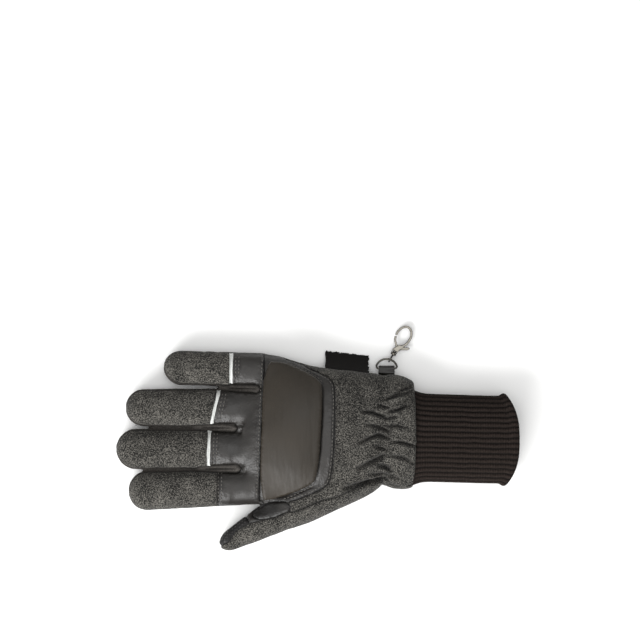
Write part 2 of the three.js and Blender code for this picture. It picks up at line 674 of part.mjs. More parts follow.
// Cuff and its pull strip

nodes.set("knit_cuff", cuffSolid(0, cuffFacets).subtract(cuffSolid(-cuffWall, cuffFacets / 2, past)));

const stripEnds = [
  { x: hemX + stripGap, y: cuffMiddle + stripNear, half: stripWidth / 2 },
  { x: cuffEnd - stripShort, y: cuffMiddle + stripFar, half: stripEndWidth / 2 },
];
const cuffStripArea = prism([
  ...stripEnds.map(({ x, y, half }) => [x, y - half]),
  ...stripEnds.map(({ x, y, half }) => [x, y + half]).reverse(),
], -1, cuffSeam - stripShort);
const overCuff = cuffSolid(layerGap + patchThickness + pressed, cuffFacets, 2 * stripShort);
nodes.set("cuff_strip", mainBody(
  onFloor(overCuff.subtract(cuffSolid(layerGap, cuffFacets, past))).intersect(cuffStripArea),
));

// Label: a woven tab out of the little finger's side seam, drooping to the floor.

function labelSolid() {
  const across = 5;
  const along = 2;
  const low = labelThickness / 2 + 0.2;
  const rings = Array.from({ length: along + 1 }, (_, i) => {
    const x = handX(labelAt) + labelLength * (i / along - 0.5);
    const start = littleEdge(x) + layerGap + 0.2;
    const line = Array.from({ length: across + 1 }, (_, j) => {
      const share = j / across;
      return [start + labelReach * share, lerp(seamHeight, low, Math.sin((share * Math.PI) / 2))];
    });
    const over = line.map(([y, z]) => new THREE.Vector3(x, y, z + labelThickness / 2));
    const under = line.map(([y, z]) => new THREE.Vector3(x, y, z - labelThickness / 2));
    return [...under, ...over.reverse()];
  });
  return solidFrom(loft(rings, 1));
}

nodes.set("label_tab", labelSolid());

// Ring and its leather loop

const ringX = handX(ringAt);
const ringY = littleEdge(ringX) + ringOut;

function leatherLoop() {
  const bore = ringWire + runningGap;
  const rod = (radius, length) => {
    const cylinder = new THREE.CylinderGeometry(radius, radius, length, 16);
    return solidFrom(cylinder.rotateZ(Math.PI / 2).translate(ringX, ringY, ringHeight));
  };
  const reach = 1.5 * ringOut;
  const tongue = solidFrom(
    new THREE.BoxGeometry(loopWidth, reach, 2 * loopLeather).translate(ringX, ringY - reach / 2, ringHeight),
  );
  const [left, right] = [ringX - loopWidth / 2, ringX + loopWidth / 2];
  const band = underPatches.intersect(prism([
    [left, ringY - loopUnder], [right, ringY - loopUnder],
    [right, ringY + loopOver], [left, ringY + loopOver],
  ], -1, ringHeight + 2 * loopLeather));
  return mainBody(
    joined([rod(bore + loopLeather, loopWidth), tongue, mainBody(band)])
      .subtract(rod(bore, loopWidth * 2)).subtract(gloveBody(layerGap)),
  );
}
nodes.set("ring_loop", leatherLoop());

// A round wire along a closed curve.
function closedWire(curve, radius, steps, sides) {
  const frames = curve.computeFrenetFrames(steps, true);
  const positions = [];
  const index = [];
  for (let i = 0; i < steps; i++) {
    const point = curve.getPointAt(i / steps);
    for (let k = 0; k < sides; k++) {
      const angle = (2 * Math.PI * k) / sides;
      const p = point.clone().addScaledVector(frames.normals[i], radius * Math.cos(angle))
        .addScaledVector(frames.binormals[i], radius * Math.sin(angle));
      positions.push(p.x, p.y, p.z);
      const a = i * sides + k;
      const b = i * sides + ((k + 1) % sides);
      const [c, d] = [((i + 1) % steps) * sides + ((k + 1) % sides), ((i + 1) % steps) * sides + k];
      index.push(a, b, c, a, c, d);
    }
  }
  const geometry = new THREE.BufferGeometry();
  geometry.setAttribute("position", new THREE.Float32BufferAttribute(positions, 3));
  geometry.setIndex(index);
  return solidFrom(geometry);
}

// A point in the ring's own plane: across along the bar, out from it and down the slope.
const ringPoint = (across, out) =>
  new THREE.Vector3(ringX + across, ringY + out * Math.cos(radians(ringTilt)),
    ringHeight - out * Math.sin(radians(ringTilt)));
const arcPoint = (angle) =>
  ringPoint((ringWidth / 2) * Math.cos(radians(angle)), ringDepth * Math.sin(radians(angle)));
const barShares = [-0.8, -0.4, 0, 0.4, 0.8];
const arcAngles = [10, 30, 50, 70, 90, 110, 130, 150, 170];
const ringCurve = new THREE.CatmullRomCurve3(
  [...barShares.map((s) => ringPoint((s * ringWidth) / 2, 0)), ...arcAngles.map(arcPoint)], true,
);
nodes.set("d_ring", closedWire(ringCurve, ringWire, 26, 6));

// Snap hook. Its own frame: x along its axis from the middle of the eye, y to the left, z up.

const eyeInside = eyeRadius - eyeWire;
const eyeAngle = 70; // place of the eye on the ring's arc, degrees
const hookFrame = new THREE.Group();
hookFrame.rotation.set(0, radians(hookPitch), radians(hookHeading), "ZYX");
const heading = new THREE.Vector3(1, 0, 0).applyEuler(hookFrame.rotation);
hookFrame.position.copy(arcPoint(eyeAngle).addScaledVector(heading, eyeInside - ringWire - runningGap));

const collarStart = eyeRadius + eyeWire;
const collarEnd = collarStart + collarLong;
const pocketEnd = collarEnd + pocketLong;
const pivotX = pocketEnd + pivotBack;
const ovalX = pivotX + ovalBack;
const slot = gateThickness / 2 + slotPlay;
const fromPin = (outline) => outline.map(([x, y]) => [pivotX + x, pivotY + y]);

const axle = (radius, fromX, toX, sides = 10) =>
  solidFrom(new THREE.CylinderGeometry(radius, radius, toX - fromX, sides)
    .rotateZ(Math.PI / 2).translate((fromX + toX) / 2, 0, 0));
const plate = (points, thickness, holes = []) => {
  const shape = new THREE.Shape(points.map(([x, y]) => new THREE.Vector2(x, y)));
  holes.forEach((hole) => shape.holes.push(new THREE.Path(hole.map(([x, y]) => new THREE.Vector2(x, y)))));
  return solidFrom(new THREE.ExtrudeGeometry(shape, { depth: thickness, bevelEnabled: false })
    .translate(0, 0, -thickness / 2));
};
const ovalPoint = (long, wide, angle) =>
  [ovalX + long * Math.cos(radians(angle)), wide * Math.sin(radians(angle))];
const ovalOutline = (long, wide, from = 0, to = 340, step = 20) =>
  Array.from({ length: (to - from) / step + 1 }, (_, k) => ovalPoint(long, wide, from + k * step));
const upright = (radius, x, y, height) =>
  solidFrom(new THREE.CylinderGeometry(radius, radius, height, 10).rotateX(Math.PI / 2).translate(x, y, 0));

function swivelEye() {
  const ring = solidFrom(new THREE.TorusGeometry(eyeRadius, eyeWire, 6, 14).rotateX(Math.PI / 2));
  return joined([
    ring,
    axle(postRadius, eyeRadius, pocketEnd - 2 * headPlay),
    axle(headRadius, collarEnd + headPlay, pocketEnd - headPlay),
  ]);
}

// The part of the oval on the left that the gate closes.
const gateSector = [
  [ovalX, 0], ovalPoint(past, past, tipAngle), [pivotX - pivotBack, past], [pivotX - pivotBack, pinGap],
  [pivotX + postRadius, pinGap],
];

function hookBody() {
  const ring = plate(ovalOutline(hookLong, hookWide), hookThickness, [
    ovalOutline(hookLong - hookWire, hookWide - hookWire),
  ]).subtract(plate(gateSector, hookThickness * 2));
  const shank = plate(fromPin(shankOutline), hookThickness);
  const cheekSlot = solidFrom(
    new THREE.BoxGeometry(hookLong, past, slot * 2).translate(pivotX + hookLong * 0.28, 0, 0),
  );
  const pocket = solidFrom(new THREE.BoxGeometry(pocketLong, 2 * (headRadius + headPlay), past)
    .translate(collarEnd + pocketLong / 2, 0, 0));
  return joined([
    axle(collarRadius, collarStart + headPlay, collarEnd),
    ring.add(shank).subtract(cheekSlot),
    upright(pivotRadius, pivotX, pivotY, hookThickness - slotPlay),
  ]).subtract(pocket).subtract(axle(postRadius + pinGap, 0, collarEnd + headPlay));
}

function gateLever() {
  const arm = [tipAngle + 3, tipAngle + gateArc, 15]; // from, to and step, degrees
  const armOuter = ovalOutline(hookLong - pinGap, hookWide - pinGap, ...arm);
  const armInner = ovalOutline(hookLong - hookWire, hookWide - hookWire, ...arm).reverse();
  const lever = plate([...armOuter, ...fromPin(leverOutline), ...armInner], gateThickness);
  return lever.subtract(upright(pivotRadius + pinGap, pivotX, pivotY, past));
}

// The assembly

const finishes = {
  leather: { color: "#262423", roughness: 0.5, metalness: 0 },
  patch: { color: "#2e2c2a", roughness: 0.55, metalness: 0 },
  heel: { color: "#4a4845", roughness: 0.6, metalness: 0 },
  guard: { color: "#3b3733", roughness: 0.42, metalness: 0 },
  fabric: { color: "#474a49", roughness: 0.9, metalness: 0 },
  fourchette: { color: "#1d1d1d", roughness: 0.85, metalness: 0 },
  grip: { color: "#1c1a19", roughness: 0.75, metalness: 0 },
  reflective: { color: "#d8dad6", roughness: 0.35, metalness: 0.1 },
  knit: { color: "#1a1817", roughness: 0.95, metalness: 0 },
  label: { color: "#161412", roughness: 0.8, metalness: 0 },
  steel: { color: "#b9b6ac", roughness: 0.28, metalness: 1 },
};
const finishOf = [
  ["finger_back", "fabric"], ["thumb_back", "fabric"], ["back_fabric", "fabric"],
  ["fourchette", "fourchette"], ["fingertip_grip", "grip"], ["thumbtip_grip", "grip"],
  ["reflective", "reflective"], ["knuckle_guard", "guard"], ["palm_heel_patch", "heel"],
  ["palm_", "leather"], ["thumb_heel_patch", "patch"], ["knit_cuff", "knit"], ["label", "label"],
];
const materials = Object.fromEntries(
  Object.entries(finishes).map(([name, look]) => [name, new THREE.MeshStandardMaterial(look)]),
);

const glove = new THREE.Group();
for (const [name, solid] of nodes) {
  const found = finishOf.find(([start]) => name.startsWith(start));
  const finish = name === "d_ring" ? "steel" : found ? found[1] : "leather";
  const mesh = new THREE.Mesh(geometryFrom(solid), materials[finish]);
  mesh.name = name;
  glove.add(mesh);
}
const hookSolids = [["swivel_eye", swivelEye()], ["hook_body", hookBody()], ["gate_lever", gateLever()]];
for (const [name, solid] of hookSolids) {
  const mesh = new THREE.Mesh(geometryFrom(solid), materials.steel);
  mesh.name = name;
  hookFrame.add(mesh);
}
glove.add(hookFrame);

export default glove;
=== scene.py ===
import json
import math

import bpy
import numpy as np
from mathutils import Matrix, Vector, geometry, kdtree, noise
from mathutils.bvhtree import BVHTree

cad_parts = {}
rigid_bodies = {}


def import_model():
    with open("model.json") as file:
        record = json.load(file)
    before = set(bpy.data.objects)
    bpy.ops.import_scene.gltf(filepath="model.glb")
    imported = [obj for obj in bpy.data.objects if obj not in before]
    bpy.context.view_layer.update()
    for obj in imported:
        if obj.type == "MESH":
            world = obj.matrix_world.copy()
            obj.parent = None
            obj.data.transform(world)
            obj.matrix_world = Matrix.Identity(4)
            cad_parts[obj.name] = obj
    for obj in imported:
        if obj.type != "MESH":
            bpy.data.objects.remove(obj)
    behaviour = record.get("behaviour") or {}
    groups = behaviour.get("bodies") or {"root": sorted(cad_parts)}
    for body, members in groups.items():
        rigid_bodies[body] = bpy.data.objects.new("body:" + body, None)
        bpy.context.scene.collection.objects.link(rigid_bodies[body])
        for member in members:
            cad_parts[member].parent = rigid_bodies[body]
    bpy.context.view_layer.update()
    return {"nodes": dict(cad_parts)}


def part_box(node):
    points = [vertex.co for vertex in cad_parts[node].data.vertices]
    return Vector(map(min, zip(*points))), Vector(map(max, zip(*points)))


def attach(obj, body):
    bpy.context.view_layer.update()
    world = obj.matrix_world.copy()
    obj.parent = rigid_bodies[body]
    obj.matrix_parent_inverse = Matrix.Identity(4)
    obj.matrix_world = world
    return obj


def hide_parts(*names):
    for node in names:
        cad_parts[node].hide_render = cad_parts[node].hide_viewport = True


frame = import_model()

# Camera. It looks straight down on the back of the hand from far off, so the fingers keep their widths.
# One pixel is 0.757 mm at the height of the hand, and the glove lies in the lower half of the picture.
MM = 0.001
camera_height = 2.4
view_width = 640 * 0.757 * MM
camera_data = bpy.data.cameras.new("camera")
camera_data.sensor_width = 36
camera_data.lens = 36 * (camera_height - 20 * MM) / view_width
camera_data.clip_end = 20
camera = bpy.data.objects.new("camera", camera_data)
camera.location = (-7.6 * MM, 85.5 * MM, camera_height)
bpy.context.scene.collection.objects.link(camera)
bpy.context.scene.camera = camera


# Floor and light. A plain white studio table, a wide soft light from the index finger's side, a weaker
# one over the hand, and white walls that fill the shade.
def linear(code):
    """A colour from its sRGB hex code."""
    parts = [int(code[k:k + 2], 16) / 255 for k in (1, 3, 5)]
    return [c / 12.92 if c <= 0.04045 else ((c + 0.055) / 1.055) ** 2.4 for c in parts] + [1.0]


def add_node(tree, kind, settings=None, inputs=None):
    """Adds a node, sets its own fields, and gives each input a value or a link from another node."""
    node = tree.nodes.new(kind)
    for name, value in (settings or {}).items():
        setattr(node, name, value)
    for name, value in (inputs or {}).items():
        if isinstance(value, bpy.types.NodeSocket):
            tree.links.new(value, node.inputs[name])
        else:
            node.inputs[name].default_value = value
    return node


def new_material(name, **surface):
    """A material with one surface shader, and the glove's own coordinates in metres."""
    material = bpy.data.materials.new(name)
    material.use_nodes = True
    tree = material.node_tree
    tree.nodes.clear()
    shader = add_node(tree, "ShaderNodeBsdfPrincipled", inputs={
        key.replace("_", " "): value for key, value in surface.items()})
    add_node(tree, "ShaderNodeOutputMaterial", inputs={"Surface": shader.outputs["BSDF"]})
    place = add_node(tree, "ShaderNodeTexCoord").outputs["Object"]
    return material, tree, shader, place


def new_object(name, points, faces, material, smooth=True):
    """An object from points in millimetres."""
    mesh = bpy.data.meshes.new(name)
    mesh.from_pydata((np.asarray(points, float) * MM).tolist(), [], [list(map(int, f)) for f in faces])
    mesh.polygons.foreach_set("use_smooth", [smooth] * len(mesh.polygons))
    if material:
        mesh.materials.append(material)
    mesh.update()
    piece = bpy.data.objects.new(name, mesh)
    bpy.context.scene.collection.objects.link(piece)
    return piece


scene = bpy.context.scene
scene.view_settings.view_transform = "Standard"
table_paint, tree, shader, place = new_material("matt_white_table", Roughness=0.9)
table_tone = add_node(tree, "ShaderNodeTexNoise", inputs={"Vector": place, "Scale": 3.0})
table_mix = add_node(tree, "ShaderNodeMix", {"data_type": "RGBA"}, {
    0: table_tone.outputs["Fac"], 6: linear("#f6f6f5"), 7: linear("#fafaf9")})
tree.links.new(table_mix.outputs[2], shader.inputs["Base Color"])
table_half = 4000
table_top = new_object("table_top", [(x * table_half, y * table_half, 0) for x, y in (
    (-1, -1), (1, -1), (1, 1), (-1, 1))], [(0, 1, 2, 3)], table_paint)

# The studio is white overhead and dim near the floor, so that metal shows dark edges.
world = bpy.data.worlds.new("studio")
world.use_nodes = True
tree = world.node_tree
tree.nodes.clear()
skyward = add_node(tree, "ShaderNodeSeparateXYZ", inputs={
    0: add_node(tree, "ShaderNodeTexCoord").outputs["Generated"]})
bright = add_node(tree, "ShaderNodeMapRange", {"interpolation_type": "SMOOTHSTEP"}, {
    "Value": skyward.outputs["Z"], "From Min": 0.15, "From Max": 0.8, "To Min": 0.3, "To Max": 1.15})
studio = add_node(tree, "ShaderNodeBackground", inputs={"Strength": bright.outputs[0]})
add_node(tree, "ShaderNodeOutputWorld", inputs={"Surface": studio.outputs[0]})
scene.world = world


def soft_light(name, place, width, height, power):
    """An evenly bright panel in metres and watts, turned to the middle of the palm."""
    lamp = bpy.data.lights.new(name, "AREA")
    lamp.shape = "RECTANGLE"
    lamp.size, lamp.size_y, lamp.energy = width, height, power
    light = bpy.data.objects.new(name, lamp)
    light.location = place
    light.rotation_euler = (-Vector(place)).to_track_quat("-Z", "Y").to_euler()
    scene.collection.objects.link(light)


soft_light("window_side", (-0.6, -1.0, 0.75), 1.3, 0.6, 29)
soft_light("over_hand", (0.1, 0.0, 1.7), 1.0, 1.0, 5.4)

# Shell: hand, four fingers and thumb. One skin is lofted through the same sections as the panels, joined
# and relaxed so that the roots of the fingers flow into the hand, and then cut along the seams.
knuckle_x, hand_length, hand_width, hand_height = -52, 114, 113, 34
seam_height, hand_bottom, pressed = 10.5, 1.85, 0.6
hem_x = knuckle_x + hand_length


def hand_x(along):
    return knuckle_x + along * hand_length


def hand_y(across):
    return across * hand_width


def hand_points(pairs):
    return [(hand_x(along), hand_y(across)) for along, across in pairs]


def from_photo(x, y):
    """A place in the plan from a pixel of the picture's lower glove."""
    return ((x - 330) * 0.757, -(y - 432) * 0.757)


def photo_line(*pixels):
    return [from_photo(x, y) for x, y in pixels]


def smooth_through(at, values, places):
    """A curve through rows of a table that doesn't overshoot them."""
    at, values = np.asarray(at, float), np.asarray(values, float)
    rise = np.diff(values) / np.diff(at)
    slope = np.zeros(len(at))
    slope[0], slope[-1] = rise[0], rise[-1]
    same_way = rise[:-1] * rise[1:] > 0
    both = np.where(same_way, rise[:-1] + rise[1:], 1)
    slope[1:-1] = np.where(same_way, 2 * rise[:-1] * rise[1:] / both, 0)
    k = np.clip(np.searchsorted(at, places) - 1, 0, len(at) - 2)
    step = at[k + 1] - at[k]
    t = np.clip((places - at[k]) / step, 0, 1)
    return ((1 + 2 * t) * (1 - t) ** 2 * values[k] + t * (1 - t) ** 2 * step * slope[k]
            + t * t * (3 - 2 * t) * values[k + 1] + t * t * (t - 1) * step * slope[k + 1])


def rounded_section(count, half, over, under, upper=2.3, lower=3.4):
    """Sides and heights round one section: a half superellipse over the seam, a flatter one under it."""
    angle = np.linspace(0, 2 * np.pi, count, endpoint=False)
    c, s = np.cos(angle), np.sin(angle)
    power = 2 / np.where(s >= 0, upper, lower)
    return (np.sign(c) * np.abs(c) ** power * half,
            np.sign(s) * np.abs(s) ** power * np.where(s >= 0, over, under))


def tube(rings):
    """Points and faces of a closed skin through rings of equally many points."""
    rings = np.asarray(rings, float)
    n, m, _ = rings.shape
    i, k = np.meshgrid(np.arange(n - 1), np.arange(m), indexing="ij")
    a, b = i * m + k, i * m + (k + 1) % m
    sides = np.stack([a, b, b + m, a + m], -1).reshape(-1, 4).tolist()
    return rings.reshape(-1, 3), sides + [list(range(m))[::-1], [(n - 1) * m + j for j in range(m)]]


# Low edge, high edge, top and bow of the hand's sections, from the knuckle line to the hem.
hand_rows = np.array([
    (0.0, -0.482, 0.52, 0.68, 1.0), (0.05, -0.477, 0.517, 0.82, 0.8), (0.13, -0.464, 0.503, 0.93, 0.45),
    (0.24, -0.45, 0.467, 1.0, 0), (0.4, -0.441, 0.43, 0.99, 0), (0.56, -0.428, 0.413, 0.96, 0),
    (0.68, -0.402, 0.398, 0.93, 0), (0.75, -0.385, 0.393, 0.93, 0), (0.807, -0.37, 0.388, 0.91, 0),
    (0.87, -0.382, 0.386, 0.94, 0), (0.93, -0.39, 0.375, 0.96, 0), (1.0, -0.376, 0.338, 0.92, 0)])
crotch_bow, hand_sides, finger_sides, fold_sides = 17, 120, 64, 20


def hand_rings():
    rings = []
    for at in np.linspace(0, 1, 58):
        low, high, top, bow = [
            float(smooth_through(hand_rows[:, 0], hand_rows[:, k], at)) for k in range(1, 5)]
        side, up = rounded_section(hand_sides, hand_y(high - low) / 2, hand_height * top - seam_height,
                                   seam_height - hand_bottom)
        y = hand_y(low + high) / 2 + side
        turn = np.clip((y / hand_width + 0.07) / 0.41, -1, 1)
        x = hand_x(at) - bow * crotch_bow * np.cos(turn * np.pi / 2)
        rings.append(np.stack([x, y, seam_height + up], -1))
    return rings


# Root and tip say where they lie across the hand; stripe, cap and seam say how far the reflective
# stripe, the grip cap and the cross seam in front lie from the knuckle line.
fingers = [
    dict(name="little", length=74.4, width=25.7, root_width=26, height=20, root=0.412, tip=0.432,
         stripe=23, slant=0, cap=44, seam=34),
    dict(name="ring", length=103.2, width=28, root_width=29.5, height=22, root=0.158, tip=0.161,
         stripe=35, slant=3, cap=71, seam=44),
    dict(name="middle", length=110.5, width=30.3, root_width=30.2, height=22.5, root=-0.117, tip=-0.117,
         stripe=39.7, slant=0.6, cap=79.7, seam=45),
    dict(name="index", length=101.1, width=29.9, root_width=26, height=22.5, root=-0.37, tip=-0.4,
         stripe=32.8, slant=0, cap=67.6, seam=42.6)]


def finger_centre(finger, x):
    return hand_y(finger["root"] + (finger["tip"] - finger["root"]) * (knuckle_x - x) / finger["length"])


def finger_rings(finger):
    rings = []
    round_end = finger["width"] / 2
    straight = finger["length"] - round_end
    places = list(np.linspace(-0.13, 1, 46)) + [1 + t for t in np.linspace(0.04, 0.995, 22)]
    for at in places:
        turn = max(0.0, at - 1) * math.pi / 2
        share = math.cos(turn)
        wide = smooth_through([-0.13, 0, 0.45, 1], [0.84, 1, 1, 1], at)
        high = smooth_through([-0.13, 0, 0.45, 1], [1, 1.12, 1.04, 1], at)
        full = finger["root_width"] + (finger["width"] - finger["root_width"]) * min(1, max(0, at))
        x = knuckle_x - min(at, 1) * straight - math.sin(turn) * round_end
        over = (finger["height"] * high - seam_height) * share ** 0.8
        under = (seam_height + pressed) * share ** 0.6
        side, up = rounded_section(finger_sides, full / 2 * wide * share, over, under)
        y = finger_centre(finger, x) + side
        rings.append(np.stack([np.full(finger_sides, x), y, seam_height + up], -1))
    return rings[::-1]


thumb_length, thumb_width, thumb_height, thumb_bow = 132, 26, 24, 1.6
thumb_root = np.array([hand_x(0.754), hand_y(-0.239)])
thumb_way = np.array([-math.cos(math.radians(27.1)), -math.sin(math.radians(27.1))])
thumb_side = np.array([thumb_way[1], -thumb_way[0]])


def thumb_middle(along):
    bow = thumb_bow * math.sin(math.pi * min(1, max(0, along)))
    return thumb_root + thumb_way * along * thumb_length + thumb_side * bow


def thumb_rings():
    rings = []
    at_rows = [0, 0.15, 0.46, 0.58, 0.69, 0.78, 0.9]
    round_end = 0.1 * thumb_length
    places = list(np.linspace(0, 0.9, 46)) + [0.9 + t for t in np.linspace(0.03, 0.99, 18)]
    for at in places:
        turn = max(0.0, at - 0.9) * math.pi / 2
        share = math.cos(turn)
        wide = smooth_through(at_rows, [1.2, 1.36, 1.3, 1.12, 0.95, 0.84, 0.64], min(at, 0.9))
        high = smooth_through(at_rows, [1.05, 1.15, 1.1, 1.04, 0.98, 0.92, 0.8], min(at, 0.9))
        over = (thumb_height * high - seam_height) * share ** 0.8
        under = (seam_height + pressed) * share ** 0.6
        side, up = rounded_section(finger_sides, thumb_width / 2 * wide * share, over, under, 2.1, 2.8)
        middle = thumb_middle(min(at, 0.9) + math.sin(turn) * round_end / thumb_length)
        flat = middle + side[:, None] * thumb_side
        rings.append(np.column_stack([flat, seam_height + up]))
    return rings


# Folds of the fourchettes that show between the fingers, as x where each starts at its crotch and ends,
# and the line halfway between the two fingers.
def valley(upper, lower, x):
    return (finger_centre(upper, x) - upper["width"] / 2 + finger_centre(lower, x) + lower["width"] / 2) / 2


tongues = []
for upper, lower, start, end in zip(fingers, fingers[1:], (-52.3, -69.6, -66.8), (-84, -104, -101)):
    xs = np.linspace(start, end, 30)
    tongues.append(dict(name="fourchette_" + upper["name"] + "_" + lower["name"], start=start, end=end,
                        line=np.column_stack([xs, [valley(upper, lower, x) for x in xs]])))
fold_half, fold_inside = 3.3, 8.0


def fold_y(tongue, x):
    return np.interp(-x, -tongue["line"][:, 0], tongue["line"][:, 1])


def tongue_rings(tongue):
    rings = []
    for k, (x, y) in enumerate(tongue["line"]):
        share = k / 29
        near = math.sin(min(1, (tongue["start"] - x + 0.4) / fold_half) * math.pi / 2)
        half = fold_half * (1 - 0.55 * share) * near
        top = 22.5 - 8.5 * share ** 1.2
        angle = np.linspace(0, 2 * np.pi, fold_sides, endpoint=False)
        rings.append(np.column_stack([
            np.full(fold_sides, x + fold_inside * (1 - share)), y + half * np.cos(angle),
            seam_height + (top - seam_height) * near * np.sin(angle)]))
    return rings


def even_skin(piece, cell):
    """Points and four-sided faces of a piece made over in even cells; the piece itself is taken away."""
    even = piece.modifiers.new("even", "REMESH")
    even.mode, even.voxel_size = "VOXEL", cell * MM
    bpy.context.view_layer.update()
    made = piece.evaluated_get(bpy.context.evaluated_depsgraph_get()).to_mesh()
    points = np.zeros(len(made.vertices) * 3)
    made.vertices.foreach_get("co", points)
    corners = np.zeros(len(made.loops), int)
    made.loops.foreach_get("vertex_index", corners)
    bpy.data.objects.remove(piece)
    return points.reshape(-1, 3) / MM, corners.reshape(-1, 4)


points, faces = [], []
for rings in ([hand_rings(), thumb_rings()] + [finger_rings(f) for f in fingers]
              + [tongue_rings(t) for t in tongues]):
    part_points, part_faces = tube(rings)
    start = sum(len(p) for p in points)
    points.append(part_points)
    faces += [[start + k for k in f] for f in part_faces]
skin, quads = even_skin(new_object("lofts", np.concatenate(points), faces, None), 0.85)


def edges_of(quads):
    """Edges of a closed skin, and the two faces on each."""
    ends = np.sort(np.stack([quads, np.roll(quads, -1, 1)], -1).reshape(-1, 2), 1)
    face = np.repeat(np.arange(len(quads)), 4)
    order = np.lexsort((ends[:, 1], ends[:, 0]))
    ends, face = ends[order], face[order]
    same = np.flatnonzero((ends[1:] == ends[:-1]).all(1))
    return ends[same], np.stack([face[same], face[same + 1]], -1)


def relaxed(points, edges, rounds, free=None):
    """Points moved halfway to the middle of their neighbours, so many times."""
    count = np.bincount(edges.ravel(), minlength=len(points))[:, None].clip(1)
    for _ in range(rounds):
        total = np.zeros_like(points)
        for k in range(3):
            total[:, k] = (np.bincount(edges[:, 0], points[edges[:, 1], k], len(points))
                           + np.bincount(edges[:, 1], points[edges[:, 0], k], len(points)))
        moved = (points + total / count) / 2
        points = moved if free is None else np.where(free[:, None], moved, points)
    return points


def normals_of(points, quads):
    across = np.cross(points[quads[:, 2]] - points[quads[:, 0]], points[quads[:, 3]] - points[quads[:, 1]])
    total = np.stack([
        np.bincount(quads.ravel(), np.repeat(across[:, k], 4), len(points)) for k in range(3)], -1)
    return total / np.linalg.norm(total, axis=1, keepdims=True).clip(1e-12)


edges, edge_faces = edges_of(quads)
skin = relaxed(skin, edges, 12)
hem_near = ((skin[:, 0] - 30) / (hem_x - 30)).clip(0, 1)
skin[:, 0] += 3.0 * hem_near ** 2 * np.cos(((skin[:, 1] + 2) / 44).clip(-1, 1) * np.pi / 2) ** 0.5
beside_fold = np.full(len(skin), 9.0)
for tongue in tongues:
    past = (skin[:, 0] - tongue["start"]).clip(0)
    beside_fold = np.minimum(beside_fold, np.hypot(skin[:, 1] - fold_y(tongue, skin[:, 0]), past))
web = (skin[:, 0] > -76) & (skin[:, 0] < -40) & (skin[:, 2] > seam_height + 3) & (beside_fold > 4.2)
skin = relaxed(skin, edges, 160, web)
skin[:, 2] = skin[:, 2].clip(0)


def run_along(line):
    """How far along a line each of its points lies."""
    return np.concatenate([[0], np.cumsum(np.linalg.norm(np.diff(line, axis=0), axis=1))])


def spots_at(line, run, at):
    return np.column_stack([np.interp(at, run, line[:, k]) for k in (0, 1)])


def rounded_outline(corners, step=0.8, soften=3):
    """Points along a closed outline, evenly spaced, its corners a little round."""
    for _ in range(soften):
        corners = [tuple(np.array(a) * (1 - t) + np.array(b) * t)
                   for a, b in zip(corners, corners[1:] + corners[:1]) for t in (0.16, 0.84)]
    loop = np.array(corners + corners[:1])
    run = run_along(loop)
    return spots_at(loop, run, np.linspace(0, run[-1], max(12, int(run[-1] / step)), endpoint=False))


def edge_distance(points, loop):
    """Distance of points from a closed outline, more than 0 inside it."""
    a, b = loop, np.roll(loop, -1, 0)
    way = b - a
    best = np.full(len(points), 1e9)
    inside = np.zeros(len(points), bool)
    for p, d, q in zip(a, way, b):
        t = (((points - p) @ d) / (d @ d)).clip(0, 1)
        best = np.minimum(best, np.linalg.norm(points - p - t[:, None] * d, axis=1))
        crosses = (p[1] > points[:, 1]) != (q[1] > points[:, 1])
        if p[1] != q[1]:
            meets = (q[0] - p[0]) * (points[:, 1] - p[1]) / (q[1] - p[1]) + p[0]
            inside ^= crosses & (points[:, 0] < meets)
    return np.where(inside, best, -best)


# Each face of the skin belongs to the panel that lies nearest to it.
panel_names = sorted(n for n in frame["nodes"] if n.startswith(
    ("finger", "fourchette", "thumb_gusset", "thumb_back", "thumb_front", "thumbtip", "knuckle_leather",
     "guard_surround", "back_fabric", "palm_leather")))
panel_points, panel_faces, panel_of = [], [], []
for number, name in enumerate(panel_names):
    mesh = frame["nodes"][name].data
    start = len(panel_points)
    panel_points += [v.co / MM for v in mesh.vertices]
    panel_faces += [[start + k for k in p.vertices] for p in mesh.polygons]
    panel_of += [number] * len(mesh.polygons)
panels = BVHTree.FromPolygons(panel_points, panel_faces)
middles = skin[quads].mean(1)
label = np.array([panel_of[panels.find_nearest(Vector(p))[2]] for p in middles])
for tongue in tongues:
    away = np.abs(middles[:, 1] - fold_y(tongue, middles[:, 0]))
    share = (tongue["start"] - middles[:, 0]) / (tongue["start"] - tongue["end"])
    round_end = np.sin(((tongue["start"] - middles[:, 0]) / fold_half).clip(0, 1) * np.pi / 2)
    on = (away < (fold_half - 1.8 * share) * round_end) & (share > 0) & (share < 1)
    label[on & (middles[:, 2] > seam_height)] = panel_names.index(tongue["name"])
upper_side = middles[:, 2] > seam_height + 2
knuckle, surround, gusset, back = [panel_names.index(n) for n in (
    "knuckle_leather", "guard_surround", "thumb_gusset", "back_fabric")]
knuckle_seam = from_photo(264.6, 352), from_photo(259, 500)
seam_at = np.interp(middles[:, 1], *[[knuckle_seam[1][k], knuckle_seam[0][k]] for k in (1, 0)])
across = upper_side & ((label == knuckle) | (label == surround)) & (middles[:, 1] > -53)
label[across] = np.where(middles[across, 0] < seam_at[across], knuckle, surround)
apron = rounded_outline(photo_line(
    (262, 335), (290, 352), (305, 366.5), (329, 377.5), (334.5, 384), (335.4, 400), (333.6, 454), (331, 478),
    (327.5, 485), (309, 494.5), (288, 501.5), (260, 508), (250, 420)), 1.5, 2)
on_back = middles[:, 2] > seam_height + 4
beside_apron = on_back & ((label == surround) | (label == back)) & (middles[:, 0] > from_photo(286, 0)[0])
label[beside_apron] = np.where(edge_distance(middles[beside_apron, :2], apron) > 0, surround, back)
